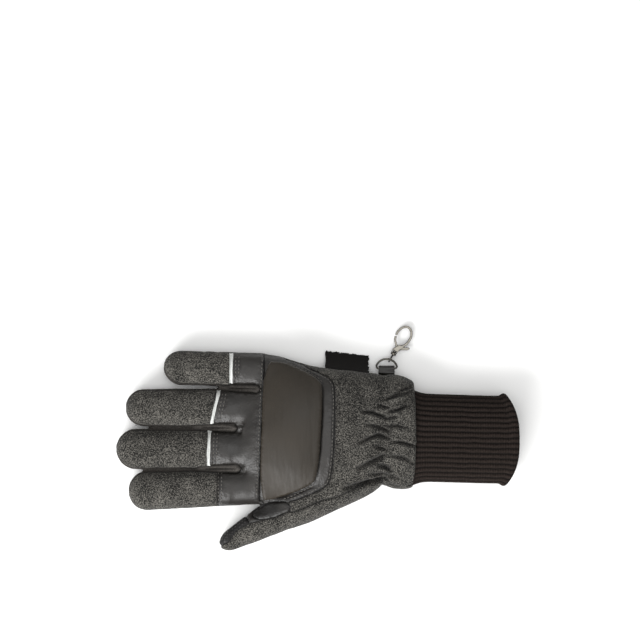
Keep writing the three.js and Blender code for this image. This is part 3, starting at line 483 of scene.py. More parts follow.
leaf = rounded_outline(photo_line(
    (250.5, 515.5), (257, 508.5), (267, 503), (278, 500.5), (286, 501.5), (291, 505.5), (290.5, 510),
    (284.5, 513.5), (275, 517), (267, 519), (258, 519)), 0.8, 2)
leaf_depth = edge_distance(middles[:, :2], leaf)
leaf_bright = from_photo(287, 0)[0]
beyond_leaf = np.flatnonzero((label == gusset) & (leaf_depth < 0) & upper_side)
other_trees = BVHTree.FromPolygons(panel_points, [f for f, n in zip(panel_faces, panel_of) if n != gusset])
other_of = [n for n in panel_of if n != gusset]
for k in beyond_leaf:
    label[k] = other_of[other_trees.find_nearest(Vector(middles[k]))[2]]
label[(leaf_depth > 0) & upper_side] = gusset
neighbours = np.zeros((len(quads), 4), int)
slots_used = np.zeros(len(quads), int)
for a, b in np.concatenate([edge_faces, edge_faces[:, ::-1]]):
    if slots_used[a] < 4:
        neighbours[a, slots_used[a]] = b
        slots_used[a] += 1
for _ in range(4):
    near = np.sort(label[neighbours], 1)
    label = np.where(near[:, 0] == near[:, 2], near[:, 0],
                     np.where(near[:, 1] == near[:, 3], near[:, 1], label))

# The saw teeth along each seam are drawn out into a clean line, on the same surface.
resting = BVHTree.FromPolygons(skin.tolist(), quads.tolist())
on_seam = label[edge_faces[:, 0]] != label[edge_faces[:, 1]]
seam_edges = edges[on_seam]
ends_here = np.bincount(seam_edges.ravel(), minlength=len(skin))
skin = relaxed(skin, seam_edges, 14, ends_here == 2)
close = ends_here > 0
for _ in range(3):
    close[edges[close[edges].any(1)].ravel()] = True
skin = relaxed(skin, edges, 5, close & (ends_here == 0))
for k in np.flatnonzero(close):
    skin[k] = resting.find_nearest(Vector(skin[k]))[0]


def finder(points):
    """Finds the nearest of these points."""
    near = kdtree.KDTree(len(points))
    for k, p in enumerate(points):
        near.insert(p, k)
    near.balance()
    return near


seam_spots = finder(np.concatenate([skin[seam_edges[:, 0]], skin[seam_edges].mean(1)]))
seam_distance = np.array([seam_spots.find(p)[2] for p in skin])


def trough(line, points, wide):
    """How near each point lies to a line in the plan, from 1 on it to 0 far off, fading to its ends."""
    line = np.asarray(line, float)
    best = np.zeros(len(points))
    total = np.linalg.norm(np.diff(line, axis=0), axis=1).sum()
    run = 0
    for a, b in zip(line, line[1:]):
        way, long = (b - a) / np.linalg.norm(b - a), np.linalg.norm(b - a)
        t = ((points[:, :2] - a) @ way).clip(0, long)
        away = np.linalg.norm(points[:, :2] - a - t[:, None] * way, axis=1)
        fade = np.sin(np.pi * (0.12 + 0.76 * (run + t) / total)) ** 0.6
        best = np.maximum(best, np.exp(-(away / wide) ** 2) * fade)
        run += long
    return best


def beside_line(line, off):
    """The same line, moved sideways to its left by so many millimetres."""
    line = np.asarray(line, float)
    way = np.gradient(line, axis=0)
    way /= np.linalg.norm(way, axis=1, keepdims=True)
    return line + np.column_stack([-way[:, 1], way[:, 0]]) * off


def line_through(corners, step=2.0):
    """Points along an open line of corners, evenly spaced."""
    line = np.asarray(corners, float)
    run = run_along(line)
    return spots_at(line, run, np.linspace(0, run[-1], max(3, int(run[-1] / step))))


# Rows of lockstitch on the back: beside the knuckle seam, behind each stripe, round the guard and the
# leather round it.
back_rows = [line_through(photo_line((262.3, 355), (256.6, 498)))]
for finger, off in zip(fingers, (0, 0, 0, -3.2)):
    for more in (3.6, 6.0):
        x = knuckle_x - finger["stripe"] + more + off
        middle, half = finger_centre(finger, x), finger["width"] / 2 - 2.2
        back_rows.append(line_through([(x + finger["slant"] * 0.8, middle + half), (x, middle),
                                       (x - finger["slant"] * 0.8, middle - half)]))
apron_edge = photo_line(
    (290, 354), (305, 366.5), (329, 377.5), (334, 384), (335.2, 400), (333.6, 454), (331, 478),
    (327.5, 485), (309, 494.5), (288, 501.5))
back_rows.append(beside_line(line_through(apron_edge), -1.4))
guard_corners = photo_line(
    (265.3, 362), (285, 364), (301, 371), (315.5, 378.5), (320.5, 383.3), (321.6, 391), (320.9, 414),
    (318.6, 454), (315.6, 477), (312.5, 481.8), (288, 494.8), (275, 498.3), (260.4, 499))
back_rows.append(line_through(photo_line((287, 362.5), (303, 369.5), (317, 377), (323.5, 383))))
back_rows.append(line_through(photo_line((283, 499), (291, 496.3), (314, 485))))

# Creases where the elastic draws the wrist in: their lines, and how deep and wide each is.
gathers = [
    ([(362, 411), (372, 412), (383, 416), (386, 418)], 1.5, 1.4),
    ([(389, 411), (398, 409), (407, 405)], 1.5, 1.3),
    ([(360, 442), (370, 437), (378, 434), (389, 438)], 1.6, 1.5),
    ([(391, 441), (403, 442), (417, 446)], 1.2, 1.3),
    ([(359, 468), (370, 462), (384, 455)], 2.2, 2.0), ([(378, 466), (386, 468), (392, 471)], 1.2, 1.3),
    ([(345, 488), (362, 483), (379, 480), (391, 477)], 2.0, 2.0),
    ([(399, 390), (413, 387)], 1.2, 1.3), ([(384, 399), (396, 396), (409, 392)], 1.2, 1.3),
    ([(372, 474), (384, 474), (398, 478)], 1.1, 1.6), ([(384, 426), (396, 425), (406, 427)], 0.8, 1.5),
    ([(388, 455), (402, 457), (412, 462)], 0.9, 1.6), ([(366, 424), (380, 426)], 0.8, 1.6),
    ([(386, 484), (398, 487)], 1.0, 1.5), ([(378, 427), (390, 431)], 1.0, 1.3),
    ([(376, 446), (388, 450)], 1.0, 1.3), ([(377, 463), (389, 467)], 1.0, 1.3),
    ([(377, 478), (391, 482)], 1.0, 1.3), ([(379, 405), (389, 407)], 0.8, 1.2),
    ([(388, 397), (402, 391)], 1.0, 1.3), ([(386, 418), (396, 416)], 0.8, 1.2)]
normal = normals_of(skin, quads)
upward = normal[:, 2].clip(0, 1) ** 0.5
at_tip = np.zeros(len(skin))
for finger in fingers:
    mine = np.abs(skin[:, 1] - finger_centre(finger, skin[:, 0])) < finger["width"] / 2 + 1
    beyond = (knuckle_x - finger["length"] + 5 - skin[:, 0]) / 4
    at_tip = np.maximum(at_tip, mine * beyond.clip(0, 1))
push = ((1 - 0.9 * at_tip) * -0.75 * np.exp(-(seam_distance / 0.85) ** 2)
        + 0.18 * np.exp(-((seam_distance - 2.6) / 1.3) ** 2))
# Painted shade: the colour is darkened along every seam, deepest in its groove.
painted_shade = 0.9 * np.exp(-(seam_distance / 0.9) ** 2)
# Where the leather is drawn together beside a seam.
pucker = np.exp(-((seam_distance - 2) / 3) ** 2)
# The creases are pushed in with a ridge beside each, and their colour is darkened with painted shade.
for line, deep, wide in gathers:
    line = photo_line(*line)
    here, beside = trough(line, skin, wide), trough(line, skin, wide * 2.3)
    push += upward * (-1.7 * deep * here + 1.1 * deep * (beside - here))
    painted_shade = np.maximum(painted_shade, here * upward)
# Stitch rows sink a little and get painted shade in their colour; beside them the leather puckers.
for row in back_rows:
    here = trough(row, skin, 0.85) * (normal[:, 2] > 0.2)
    push -= 0.4 * here
    painted_shade = np.maximum(painted_shade, 0.75 * here)
    pucker = np.maximum(pucker, trough(row, skin, 4.5) * (normal[:, 2] > 0.2))
# Grooves along the fourchette folds, darkened with painted shade.
for tongue in tongues:
    here = trough(tongue["line"][4:24], skin, 0.8) * (normal[:, 2] > 0.1)
    push -= 1.1 * here
    painted_shade = np.maximum(painted_shade, here)
# Painted shade over the gusset leaf, deepest at its left end and none past its bright right end.
in_leaf = (edge_distance(skin[:, :2], leaf) > 0) * (normal[:, 2] > 0.1)
painted_shade = np.maximum(painted_shade, 0.7 * in_leaf * ((leaf_bright - skin[:, 0]) / 9).clip(0, 1))
# A groove along the guard's right edge, darkened with painted shadow as if the pad cast it.
guard_rim = photo_line((320.6, 383.5), (322.1, 390), (321.5, 414), (319.2, 454), (316, 479.5))
here = trough(guard_rim, skin, 1.1) * upward
push -= 1.1 * here
painted_shade = np.maximum(painted_shade, here)
elastic = np.exp(-((skin[:, 0] - 40.5) / 4.2) ** 2)
push -= 1.3 * elastic * (1 - 0.3 * upward)
ripple = np.array([noise.noise(p * 0.09) + 0.5 * noise.noise(p * 0.21) for p in map(Vector, skin)])
push += 0.3 * ripple * (skin[:, 2] > 1.0)
skin = skin + normal * push[:, None]
skin[:, 2] = skin[:, 2].clip(0)

# Where a patch is sewn on, the palm's skin gives way to it. Outlines are shares of the hand.
patches = {
    "palm_strip": [(-0.13, -0.12), (-0.075, -0.12), (0.045, 0.2), (0.15, 0.47), (0.075, 0.49),
                   (-0.005, 0.235)],
    "palm_tongue": [(0.02, -0.385), (0.045, -0.26), (0.13, -0.09), (0.2, 0.1), (0.24, 0.27), (0.27, 0.325),
                    (0.32, 0.34), (0.345, 0.29), (0.315, 0.15), (0.285, 0.03), (0.215, -0.22), (0.2, -0.34),
                    (0.13, -0.4)],
    "thumb_heel_patch": [(0.245, -0.27), (0.275, -0.345), (0.35, -0.37), (0.43, -0.355), (0.5, -0.31),
                         (0.59, -0.21), (0.67, -0.07), (0.69, 0.02), (0.6, 0.055), (0.48, 0.065),
                         (0.37, 0.04), (0.3, 0), (0.255, -0.13)]}
heel_corners = [(0.335, 0.07), (0.47, 0.1), (0.69, 0.065), (0.755, 0.2), (0.765, 0.345), (0.4, 0.38),
                (0.405, 0.37), (0.35, 0.17)]
low_down = np.flatnonzero(skin[:, 2] < 2.2)
for corners in list(patches.values()) + [heel_corners]:
    deep = edge_distance(skin[low_down, :2], rounded_outline(hand_points(corners), 1.5))
    lifted = 1.8 * ((deep + 1.2) / 1.2).clip(0, 1)
    skin[low_down, 2] = np.maximum(skin[low_down, 2], lifted)
shell_surface = BVHTree.FromPolygons(skin.tolist(), quads.tolist())
skin_normal = normals_of(skin, quads)

# The hem is open where the knit wrist comes out of it.
cuff_middle, cuff_seam, cuff_width, cuff_height = -4.15, 15.35, 67, 27
hem_side = (middles[:, 1] - cuff_middle) / (cuff_width / 2 - 0.6)
hem_up = (middles[:, 2] - cuff_seam) / (cuff_height / 2 - 0.6)
in_mouth = (middles[:, 0] > hem_x - 5) & (np.abs(hem_side) ** 2.4 + np.abs(hem_up) ** 2.4 < 1)

# Aramid shell fabric: a heather of black and pale yarns, woven. Up close it is salt and pepper with no
# direction, and its fuzz takes all gloss away. The real yarn is 0.4 mm; the speckle is drawn at 0.8 mm
# so that it shows.
heather, tree, shader, place = new_material("heather_aramid_cloth", Roughness=0.95, Specular_IOR_Level=0.15,
                                            Sheen_Weight=0.05, Sheen_Roughness=0.6)
yarn = add_node(tree, "ShaderNodeTexNoise", inputs={
    "Vector": place, "Scale": 1 / (0.8 * MM), "Detail": 2.0, "Roughness": 0.7})
blotch = add_node(tree, "ShaderNodeTexNoise", inputs={"Vector": place, "Scale": 1 / (14 * MM), "Detail": 2.0})
shade = add_node(tree, "ShaderNodeMath", {"operation": "MULTIPLY_ADD"}, {
    0: blotch.outputs["Fac"], 1: 0.16, 2: yarn.outputs["Fac"]})
speck = add_node(tree, "ShaderNodeMapRange", inputs={
    "Value": shade.outputs[0], "From Min": 0.53, "From Max": 0.78})
heather_mix = add_node(tree, "ShaderNodeMix", {"data_type": "RGBA"}, {
    0: speck.outputs[0], 6: linear("#0e0e0d"), 7: linear("#716e68")})


def with_painted_shade(tree, colour_socket, depth=0.8):
    """The colour, darkened by painted shade in seams and creases."""
    shade_attribute = add_node(tree, "ShaderNodeAttribute", {"attribute_name": "painted_shade"}).outputs["Fac"]
    share = add_node(tree, "ShaderNodeMath", {"operation": "MULTIPLY"}, {0: shade_attribute, 1: depth})
    mix = add_node(tree, "ShaderNodeMix", {"data_type": "RGBA"}, {
        0: share.outputs[0], 6: colour_socket, 7: linear("#050505")})
    return mix.outputs[2]


# Painted shade in seams and creases darkens the heather.
tree.links.new(with_painted_shade(tree, heather_mix.outputs[2]), shader.inputs["Base Color"])
heather_bump = add_node(tree, "ShaderNodeBump", inputs={
    "Strength": 0.8, "Distance": 0.35 * MM, "Height": yarn.outputs["Fac"]})
tree.links.new(heather_bump.outputs[0], shader.inputs["Normal"])

# Black goatskin: drum dyed and finished with a thin resin coat. It has a fine pebble grain about a
# millimetre wide, and its broad soft shine breaks up where the grain is worn.
goatskin, tree, shader, place = new_material("black_goatskin", Specular_IOR_Level=0.42)
pebble = add_node(tree, "ShaderNodeTexVoronoi", {"feature": "SMOOTH_F1"}, {
    "Vector": place, "Scale": 1 / (1.3 * MM), "Smoothness": 0.6})
wear = add_node(tree, "ShaderNodeTexNoise", inputs={"Vector": place, "Scale": 1 / (18 * MM), "Detail": 5.0})
crease = add_node(tree, "ShaderNodeTexNoise", {"noise_type": "RIDGED_MULTIFRACTAL"}, {
    "Vector": place, "Scale": 1 / (11 * MM), "Detail": 3.0})
leather_mix = add_node(tree, "ShaderNodeMix", {"data_type": "RGBA"}, {
    0: wear.outputs["Fac"], 6: linear("#11100f"), 7: linear("#2d2a27")})
# Painted shade in seams, creases and stitch rows darkens the leather.
tree.links.new(with_painted_shade(tree, leather_mix.outputs[2], 0.9), shader.inputs["Base Color"])
gloss = add_node(tree, "ShaderNodeMapRange", inputs={
    "Value": wear.outputs["Fac"], "From Min": 0.3, "From Max": 0.7, "To Min": 0.36, "To Max": 0.52})
tree.links.new(gloss.outputs[0], shader.inputs["Roughness"])
grain = add_node(tree, "ShaderNodeBump", inputs={
    "Strength": 0.5, "Distance": 0.16 * MM, "Height": pebble.outputs["Distance"]})
fold = add_node(tree, "ShaderNodeBump", inputs={
    "Strength": 0.35, "Distance": 0.5 * MM, "Height": crease.outputs["Fac"], "Normal": grain.outputs[0]})
drawn_in = add_node(tree, "ShaderNodeTexNoise", inputs={
    "Vector": place, "Scale": 1 / (3.2 * MM), "Detail": 2.0})
near_seam = add_node(tree, "ShaderNodeAttribute", {"attribute_name": "pucker"}).outputs["Fac"]
puckers = add_node(tree, "ShaderNodeBump", inputs={
    "Strength": near_seam, "Distance": 0.9 * MM, "Height": drawn_in.outputs["Fac"],
    "Normal": fold.outputs[0]})
tree.links.new(puckers.outputs[0], shader.inputs["Normal"])

# Fourchette cloth: the same aramid knitted fine, in a darker colour that is partly the cloth's own and partly
# painted shade, so that the sides of the fingers read as a shadow line.
side_cloth, tree, shader, place = new_material("dark_aramid_knit", Roughness=0.95, Specular_IOR_Level=0.1)
side_yarn = add_node(tree, "ShaderNodeTexNoise", inputs={
    "Vector": place, "Scale": 1 / (0.9 * MM), "Detail": 2.0, "Roughness": 0.6})
side_mix = add_node(tree, "ShaderNodeMix", {"data_type": "RGBA"}, {
    0: side_yarn.outputs["Fac"], 6: linear("#0d0d0c"), 7: linear("#5b5753")})
# Painted shade in seams and folds darkens the fourchette cloth.
tree.links.new(with_painted_shade(tree, side_mix.outputs[2]), shader.inputs["Base Color"])
side_bump = add_node(tree, "ShaderNodeBump", inputs={
    "Strength": 0.7, "Distance": 0.3 * MM, "Height": side_yarn.outputs["Fac"]})
tree.links.new(side_bump.outputs[0], shader.inputs["Normal"])

# Grip cloth of the fingertips: black cloth with rows of raised silicone dots, 1.9 mm apart, that are
# a little glossier than the cloth between them.
grip, tree, shader, place = new_material("silicone_dotted_cloth")
dots = add_node(tree, "ShaderNodeTexVoronoi", {"feature": "F1"}, {
    "Vector": place, "Scale": 1 / (1.9 * MM), "Randomness": 0.15})
dot = add_node(tree, "ShaderNodeMapRange", {"interpolation_type": "SMOOTHSTEP"}, {
    "Value": dots.outputs["Distance"], "From Min": 0.5, "From Max": 0.25})
grip_mix = add_node(tree, "ShaderNodeMix", {"data_type": "RGBA"}, {
    0: dot.outputs[0], 6: linear("#090808"), 7: linear("#262322")})
# Painted shade in seams darkens the grip cloth.
tree.links.new(with_painted_shade(tree, grip_mix.outputs[2]), shader.inputs["Base Color"])
grip_gloss = add_node(tree, "ShaderNodeMapRange", inputs={
    "Value": dot.outputs[0], "To Min": 0.85, "To Max": 0.5})
tree.links.new(grip_gloss.outputs[0], shader.inputs["Roughness"])
grip_bump = add_node(tree, "ShaderNodeBump", inputs={
    "Strength": 0.9, "Distance": 0.4 * MM, "Height": dot.outputs[0]})
tree.links.new(grip_bump.outputs[0], shader.inputs["Normal"])

finish_of = {"finger_back": (heather, "shell_fabric"), "back_fabric": (heather, "shell_fabric"),
             "thumb_back": (heather, "shell_fabric"), "fourchette": (side_cloth, "fourchette_leather"),
             "fingertip_grip": (grip, "grip_cloth"), "thumbtip_grip": (grip, "grip_cloth")}
lining = 1.6


def two_layers(name, first, second, cells, material):
    """A closed piece from two layers of equally many points: cells join the first, and walls the rims."""
    n = len(first)
    ends = np.stack([cells, np.roll(cells, -1, 1)], -1).reshape(-1, 2)
    key = np.sort(ends, 1) @ np.array([n, 1])
    _, place, count = np.unique(key, return_index=True, return_counts=True)
    a, b = ends[place[count == 1]].T
    walls = np.column_stack([b, a, a + n, b + n])
    return new_object(name, np.concatenate([first, second]),
                      cells.tolist() + (cells[:, ::-1] + n).tolist() + walls.tolist(), material)


def two_grids(name, first, second, material, flipped=False):
    """A closed piece from two grids of points; flipped where the first grid would face inwards."""
    rows, columns, _ = first.shape
    index = np.arange(rows * columns).reshape(rows, columns)
    index = index.T if flipped else index
    cells = np.stack([index[:-1, :-1], index[:-1, 1:], index[1:, 1:], index[1:, :-1]], -1).reshape(-1, 4)
    return two_layers(name, first.reshape(-1, 3), second.reshape(-1, 3), cells, material)


for number, name in enumerate(panel_names):
    mine = (label == number) & ~in_mouth
    used, local = np.unique(quads[mine], return_inverse=True)
    local = local.reshape(-1, 4)
    outside = skin[used]
    inside = outside - skin_normal[used] * lining
    inside[:, 2] = inside[:, 2].clip(0.2)
    material, slot = next((finish for start, finish in finish_of.items() if name.startswith(start)),
                          (goatskin, "black_leather"))
    panel = two_layers("shell_" + name, outside, inside, local, material)
    # Each panel carries the painted shade and the pucker strength as point attributes.
    for kind, values in (("painted_shade", painted_shade), ("pucker", pucker)):
        layer = panel.data.attributes.new(kind, "FLOAT", "POINT")
        layer.data.foreach_set("value", np.concatenate([values[used], values[used]]).astype(np.float32))
    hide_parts(name)
    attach(panel, "glove")


# Patches: what lies on the shell in its own layer. Each is cut to an outline in the plan and follows
# the shell a little above it, with a rounded edge.
def met(surface, x, y, top):
    """What a line straight down, or up unless it is the top, meets of a surface."""
    return surface.ray_cast(Vector((x, y, 90 if top else -90)), Vector((0, 0, -1 if top else 1)))[:2]


def on_shell(x, y, top):
    """The point of the shell over or under a place in the plan, and the way out of it."""
    hit, out = met(shell_surface, x, y, top)
    if hit is None:
        hit, out, _, _ = shell_surface.find_nearest(Vector((x, y, seam_height)))
    return np.array(hit), np.array(out if out.z * (1 if top else -1) > 0 else -out)


def left_of(loop):
    """The way to the left of a closed outline, at each of its points."""
    way = np.roll(loop, -1, 0) - np.roll(loop, 1, 0)
    return np.column_stack([-way[:, 1], way[:, 0]]) / np.linalg.norm(way, axis=1, keepdims=True)


def patch(name, corners, top, thickness, rounding, material, crown=0.0, soften=3, lay=0):
    """A closed piece over an outline: thickness rises over rounding from its edge, crown in its middle."""
    gap, cell = 0.3, 1.1
    loop = rounded_outline(corners, 0.8, soften)
    low, high = loop.min(0), loop.max(0)
    grid = np.meshgrid(*[np.arange(low[k], high[k], cell) for k in (0, 1)])
    grid = np.stack(grid, -1).reshape(-1, 2)
    grid[:, 0] += (np.round((grid[:, 1] - low[1]) / cell) % 2) * cell / 2
    inner, off = [], left_of(loop)
    for depth in (0.12, 0.35, 0.7, 1.2):
        ring = loop + off * depth * rounding
        if edge_distance(ring[:1], loop)[0] < 0:
            ring = loop - off * depth * rounding
        inner.append(ring[edge_distance(ring, loop) > depth * rounding * 0.9])
    grid = grid[edge_distance(grid, loop) > 1.2 * rounding + cell * 0.5]
    flat = np.concatenate([loop] + inner + [grid])
    outline = [(k, (k + 1) % len(loop)) for k in range(len(loop))]
    made = geometry.delaunay_2d_cdt([Vector(p) for p in flat], outline, [], 1, 1e-5)
    flat = np.array(made[0])
    triangles = np.array(made[2])
    away = edge_distance(flat, loop).clip(0)
    share = (away / rounding).clip(0, 1)
    rise = thickness * (0.25 + 0.75 * (1 - (1 - share) ** 2.4) ** (1 / 2.4))
    rise = rise + crown * (1 - np.exp(-(away / 12) ** 2))
    spots, outs = zip(*[on_shell(x, y, top) for x, y in flat])
    spots, outs = np.array(spots), np.array(outs)
    ends = np.concatenate([triangles[:, [0, 1]], triangles[:, [1, 2]], triangles[:, [2, 0]]])
    outs = relaxed(outs, ends, 10)
    outs /= np.linalg.norm(outs, axis=1, keepdims=True)
    spots = relaxed(spots, ends, lay, away > 0.5)
    over = spots + outs * (gap + rise)[:, None]
    back = spots + outs * gap
    if not top:
        over[:, 2] = over[:, 2].clip(0)
        back[:, 2] = back[:, 2].clip(0.15)
    return two_layers(name, over, back, triangles if top else triangles[:, ::-1], material)


# Knuckle guard: moulded foam under smooth, lightly coated leather, sewn on in front of the knuckles and
# turned under behind them. The coat is satin, brownish grey, and almost free of grain.
guard_leather, tree, shader, place = new_material("moulded_guard_leather", Specular_IOR_Level=0.32)
guard_tone = add_node(tree, "ShaderNodeTexNoise", inputs={
    "Vector": place, "Scale": 1 / (30 * MM), "Detail": 4.0})
guard_mix = add_node(tree, "ShaderNodeMix", {"data_type": "RGBA"}, {
    0: guard_tone.outputs["Fac"], 6: linear("#1f1b15"), 7: linear("#302a22")})
tree.links.new(guard_mix.outputs[2], shader.inputs["Base Color"])
guard_gloss = add_node(tree, "ShaderNodeMapRange", inputs={
    "Value": guard_tone.outputs["Fac"], "From Min": 0.3, "From Max": 0.7, "To Min": 0.43, "To Max": 0.56})
tree.links.new(guard_gloss.outputs[0], shader.inputs["Roughness"])
guard_grain = add_node(tree, "ShaderNodeTexNoise", inputs={
    "Vector": place, "Scale": 1 / (0.8 * MM), "Detail": 2.0})
guard_bump = add_node(tree, "ShaderNodeBump", inputs={
    "Strength": 0.25, "Distance": 0.1 * MM, "Height": guard_grain.outputs["Fac"]})
crease_way = add_node(tree, "ShaderNodeMapping", inputs={"Vector": place, "Scale": (1, 0.12, 1)})
guard_crease = add_node(tree, "ShaderNodeTexNoise", inputs={
    "Vector": crease_way.outputs[0], "Scale": 1 / (4 * MM), "Detail": 1.5})
crease_bump = add_node(tree, "ShaderNodeBump", inputs={
    "Strength": 0.6, "Distance": 0.6 * MM, "Height": guard_crease.outputs["Fac"],
    "Normal": guard_bump.outputs[0]})
tree.links.new(crease_bump.outputs[0], shader.inputs["Normal"])
guard = patch("knuckle_guard_pad", guard_corners, True, 3.3, 2.6, guard_leather, crown=0.3, soften=2, lay=140)


def stuffed(piece, outline, most):
    """Fills a pad: its cover is blown up as cloth, ten times its size, held along its sewn outline."""
    grown, steps = 10, 20
    slack = new_object("slack_cover", [v.co / MM for v in piece.data.vertices],
                       [p.vertices for p in piece.data.polygons], None)
    before, squares = even_skin(slack, 2.2)
    out = normals_of(before, squares)
    cover = new_object("cover", before * grown, squares, None)
    sewn = cover.vertex_groups.new(name="sewn")
    held = np.flatnonzero((edge_distance(before[:, :2], outline) < 3) | (out[:, 2] < 0.2))
    sewn.add(held.tolist(), 1.0, "REPLACE")
    cloth = cover.modifiers.new("cloth", "CLOTH")
    cloth.settings.use_pressure = True
    cloth.settings.uniform_pressure_force = 22
    cloth.settings.vertex_group_mass = "sewn"
    cloth.settings.effector_weights.gravity = 0
    cloth.point_cache.frame_start, cloth.point_cache.frame_end = 1, steps
    for step in range(1, steps + 1):
        scene.frame_set(step)
    made = cover.evaluated_get(bpy.context.evaluated_depsgraph_get()).to_mesh()
    after = np.zeros(len(made.vertices) * 3)
    made.vertices.foreach_get("co", after)
    swell = ((after.reshape(-1, 3) / MM / grown - before) * out).sum(1)
    bpy.data.objects.remove(cover)
    scene.frame_set(1)
    swell = swell.clip(0, most)
    near = finder(before)
    n = len(piece.data.vertices) // 2
    points = np.array([v.co / MM for v in piece.data.vertices])
    rise = np.array([np.mean([swell[k] for _, k, _ in near.find_n(p, 8)]) for p in points[:n]])
    ends = np.array([e.vertices for e in piece.data.edges if max(e.vertices) < n])
    rise = relaxed(np.column_stack([rise] * 3), ends, 12)[:, 0]
    points[:n, 2] += rise
    piece.data.vertices.foreach_set("co", (points * MM).ravel())
    piece.data.update()


stuffed(guard, rounded_outline(guard_corners, 0.8, 2), 2.0)
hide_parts("knuckle_guard")
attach(guard, "glove")

# Reflective stripes: glass-bead tape, 3 mm wide, sewn over the join of cloth and leather on three
# fingers. The beads give it a pale, even silver without a mirror's shine.
tape, tree, shader, place = new_material("glass_bead_tape", Metallic=0.15, Roughness=0.38)
beads = add_node(tree, "ShaderNodeTexVoronoi", inputs={"Vector": place, "Scale": 1 / (0.45 * MM)})
tape_mix = add_node(tree, "ShaderNodeMix", {"data_type": "RGBA"}, {
    0: beads.outputs["Distance"], 6: linear("#dcddda"), 7: linear("#b0b2af")})
tree.links.new(tape_mix.outputs[2], shader.inputs["Base Color"])
tape_bump = add_node(tree, "ShaderNodeBump", inputs={
    "Strength": 0.3, "Distance": 0.08 * MM, "Height": beads.outputs["Distance"]})
tree.links.new(tape_bump.outputs[0], shader.inputs["Normal"])


def over_finger(finger, distance, slant, angle):
    """A place beside a finger's back, at an angle round it, before it is laid on the shell."""
    x = knuckle_x - distance
    side, up = math.cos(angle), math.sin(angle)
    return Vector((x + slant * side, finger_centre(finger, x) + side * finger["width"] / 2,
                   seam_height + up * (finger["height"] - seam_height)))


cells_round, cells_across = 39, 6
step = cells_across + 1
for finger in fingers[:3]:
    rows = []
    for angle in np.linspace(math.radians(24), math.radians(139), cells_round + 1):
        row = []
        for across in np.linspace(-1, 1, step):
            spot = over_finger(finger, finger["stripe"] + across * 1.65, finger["slant"], angle)
            hit, out, _, _ = shell_surface.find_nearest(spot)
            row.append(np.array(hit) + np.array(out) * (0.55 - 0.25 * abs(across) ** 4))
        rows.append(row)
    rows = np.array(rows)
    for _ in range(4):
        rows[1:-1] = (rows[:-2] + 2 * rows[1:-1] + rows[2:]) / 4
    top_side = rows.reshape(-1, 3)
    under_side = top_side - np.array([0, 0, 0.5])
    sheet = [[i * step + j, i * step + j + 1, (i + 1) * step + j + 1, (i + 1) * step + j]
             for i in range(cells_round) for j in range(cells_across)]
    border = ([(i * step, (i + 1) * step) for i in range(cells_round)]
              + [((i + 1) * step + cells_across, i * step + cells_across) for i in range(cells_round)]
              + [(j + 1, j) for j in range(cells_across)]
              + [(cells_round * step + j, cells_round * step + j + 1) for j in range(cells_across)])
    count = len(top_side)
    walls = [[a, b, b + count, a + count] for a, b in border]
    stripe = new_object("reflective_tape_" + finger["name"], np.concatenate([top_side, under_side]),
                        [f[::-1] for f in sheet] + [[k + count for k in f] for f in sheet] + walls, tape)
    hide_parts("reflective_stripe_" + finger["name"])
    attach(stripe, "glove")

# Palm patches: a second layer of goatskin on the palm, a narrow strip below the fingers, a tongue across
# the palm and an oval on the thumb's heel.
for name, corners in patches.items():
    piece = patch("goatskin_" + name, hand_points(corners), False, 1.4, 1.0, goatskin)
    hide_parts(name)
    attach(piece, "glove")

# Palm heel patch: split leather with a brushed nap. It is greyer than the grain side, and its short nap
# scatters the light into a speckled sheen.
brushed, tree, shader, place = new_material("brushed_split_leather", Roughness=0.62, Sheen_Weight=0.3,
                                            Sheen_Roughness=0.4)
nap = add_node(tree, "ShaderNodeTexNoise", inputs={
    "Vector": place, "Scale": 1 / (0.7 * MM), "Detail": 4.0, "Roughness": 0.8})
nap_mix = add_node(tree, "ShaderNodeMix", {"data_type": "RGBA"}, {
    0: nap.outputs["Fac"], 6: linear("#1b1917"), 7: linear("#5d5954")})
tree.links.new(nap_mix.outputs[2], shader.inputs["Base Color"])
nap_bump = add_node(tree, "ShaderNodeBump", inputs={
    "Strength": 0.5, "Distance": 0.15 * MM, "Height": nap.outputs["Fac"]})
tree.links.new(nap_bump.outputs[0], shader.inputs["Normal"])
heel = patch("brushed_palm_heel", hand_points(heel_corners), False, 1.4, 1.0, brushed)
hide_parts("palm_heel_patch")
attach(heel, "glove")

# Knit wrist: a doubled tube of black-brown rib knit, sewn inside the hem. Its ribs run along the arm,
# 3.4 mm apart, and it flares a little at the hem and at its open end, which bows outwards.
rib_yarn, tree, shader, place = new_material("rib_knit_yarn", Roughness=0.97, Specular_IOR_Level=0.1)
loops = add_node(tree, "ShaderNodeTexWave", {"bands_direction": "X"}, {
    "Vector": place, "Scale": 0.314 / (1.9 * MM), "Distortion": 1.2, "Detail": 2.0, "Detail Scale": 2.0})
lint = add_node(tree, "ShaderNodeTexNoise", inputs={"Vector": place, "Scale": 1 / (1.1 * MM), "Detail": 3.0})
knit_mix = add_node(tree, "ShaderNodeMix", {"data_type": "RGBA"}, {
    0: lint.outputs["Fac"], 6: linear("#090706"), 7: linear("#352d29")})
# Painted shade in the rib valleys and under the hem darkens the knit.
tree.links.new(with_painted_shade(tree, knit_mix.outputs[2], 0.95), shader.inputs["Base Color"])
knit_height = add_node(tree, "ShaderNodeMath", {"operation": "ADD"}, {
    0: loops.outputs["Fac"], 1: lint.outputs["Fac"]})
knit_bump = add_node(tree, "ShaderNodeBump", inputs={
    "Strength": 0.7, "Distance": 0.3 * MM, "Height": knit_height.outputs[0]})
tree.links.new(knit_bump.outputs[0], shader.inputs["Normal"])
cuff_start, cuff_end, cuff_bow, cuff_wall, rib_depth = 57, 144, 9, 2.4, 1.1
rib_points = 9
rib_sides = 40 * rib_points
cuff_length = cuff_end - cuff_start


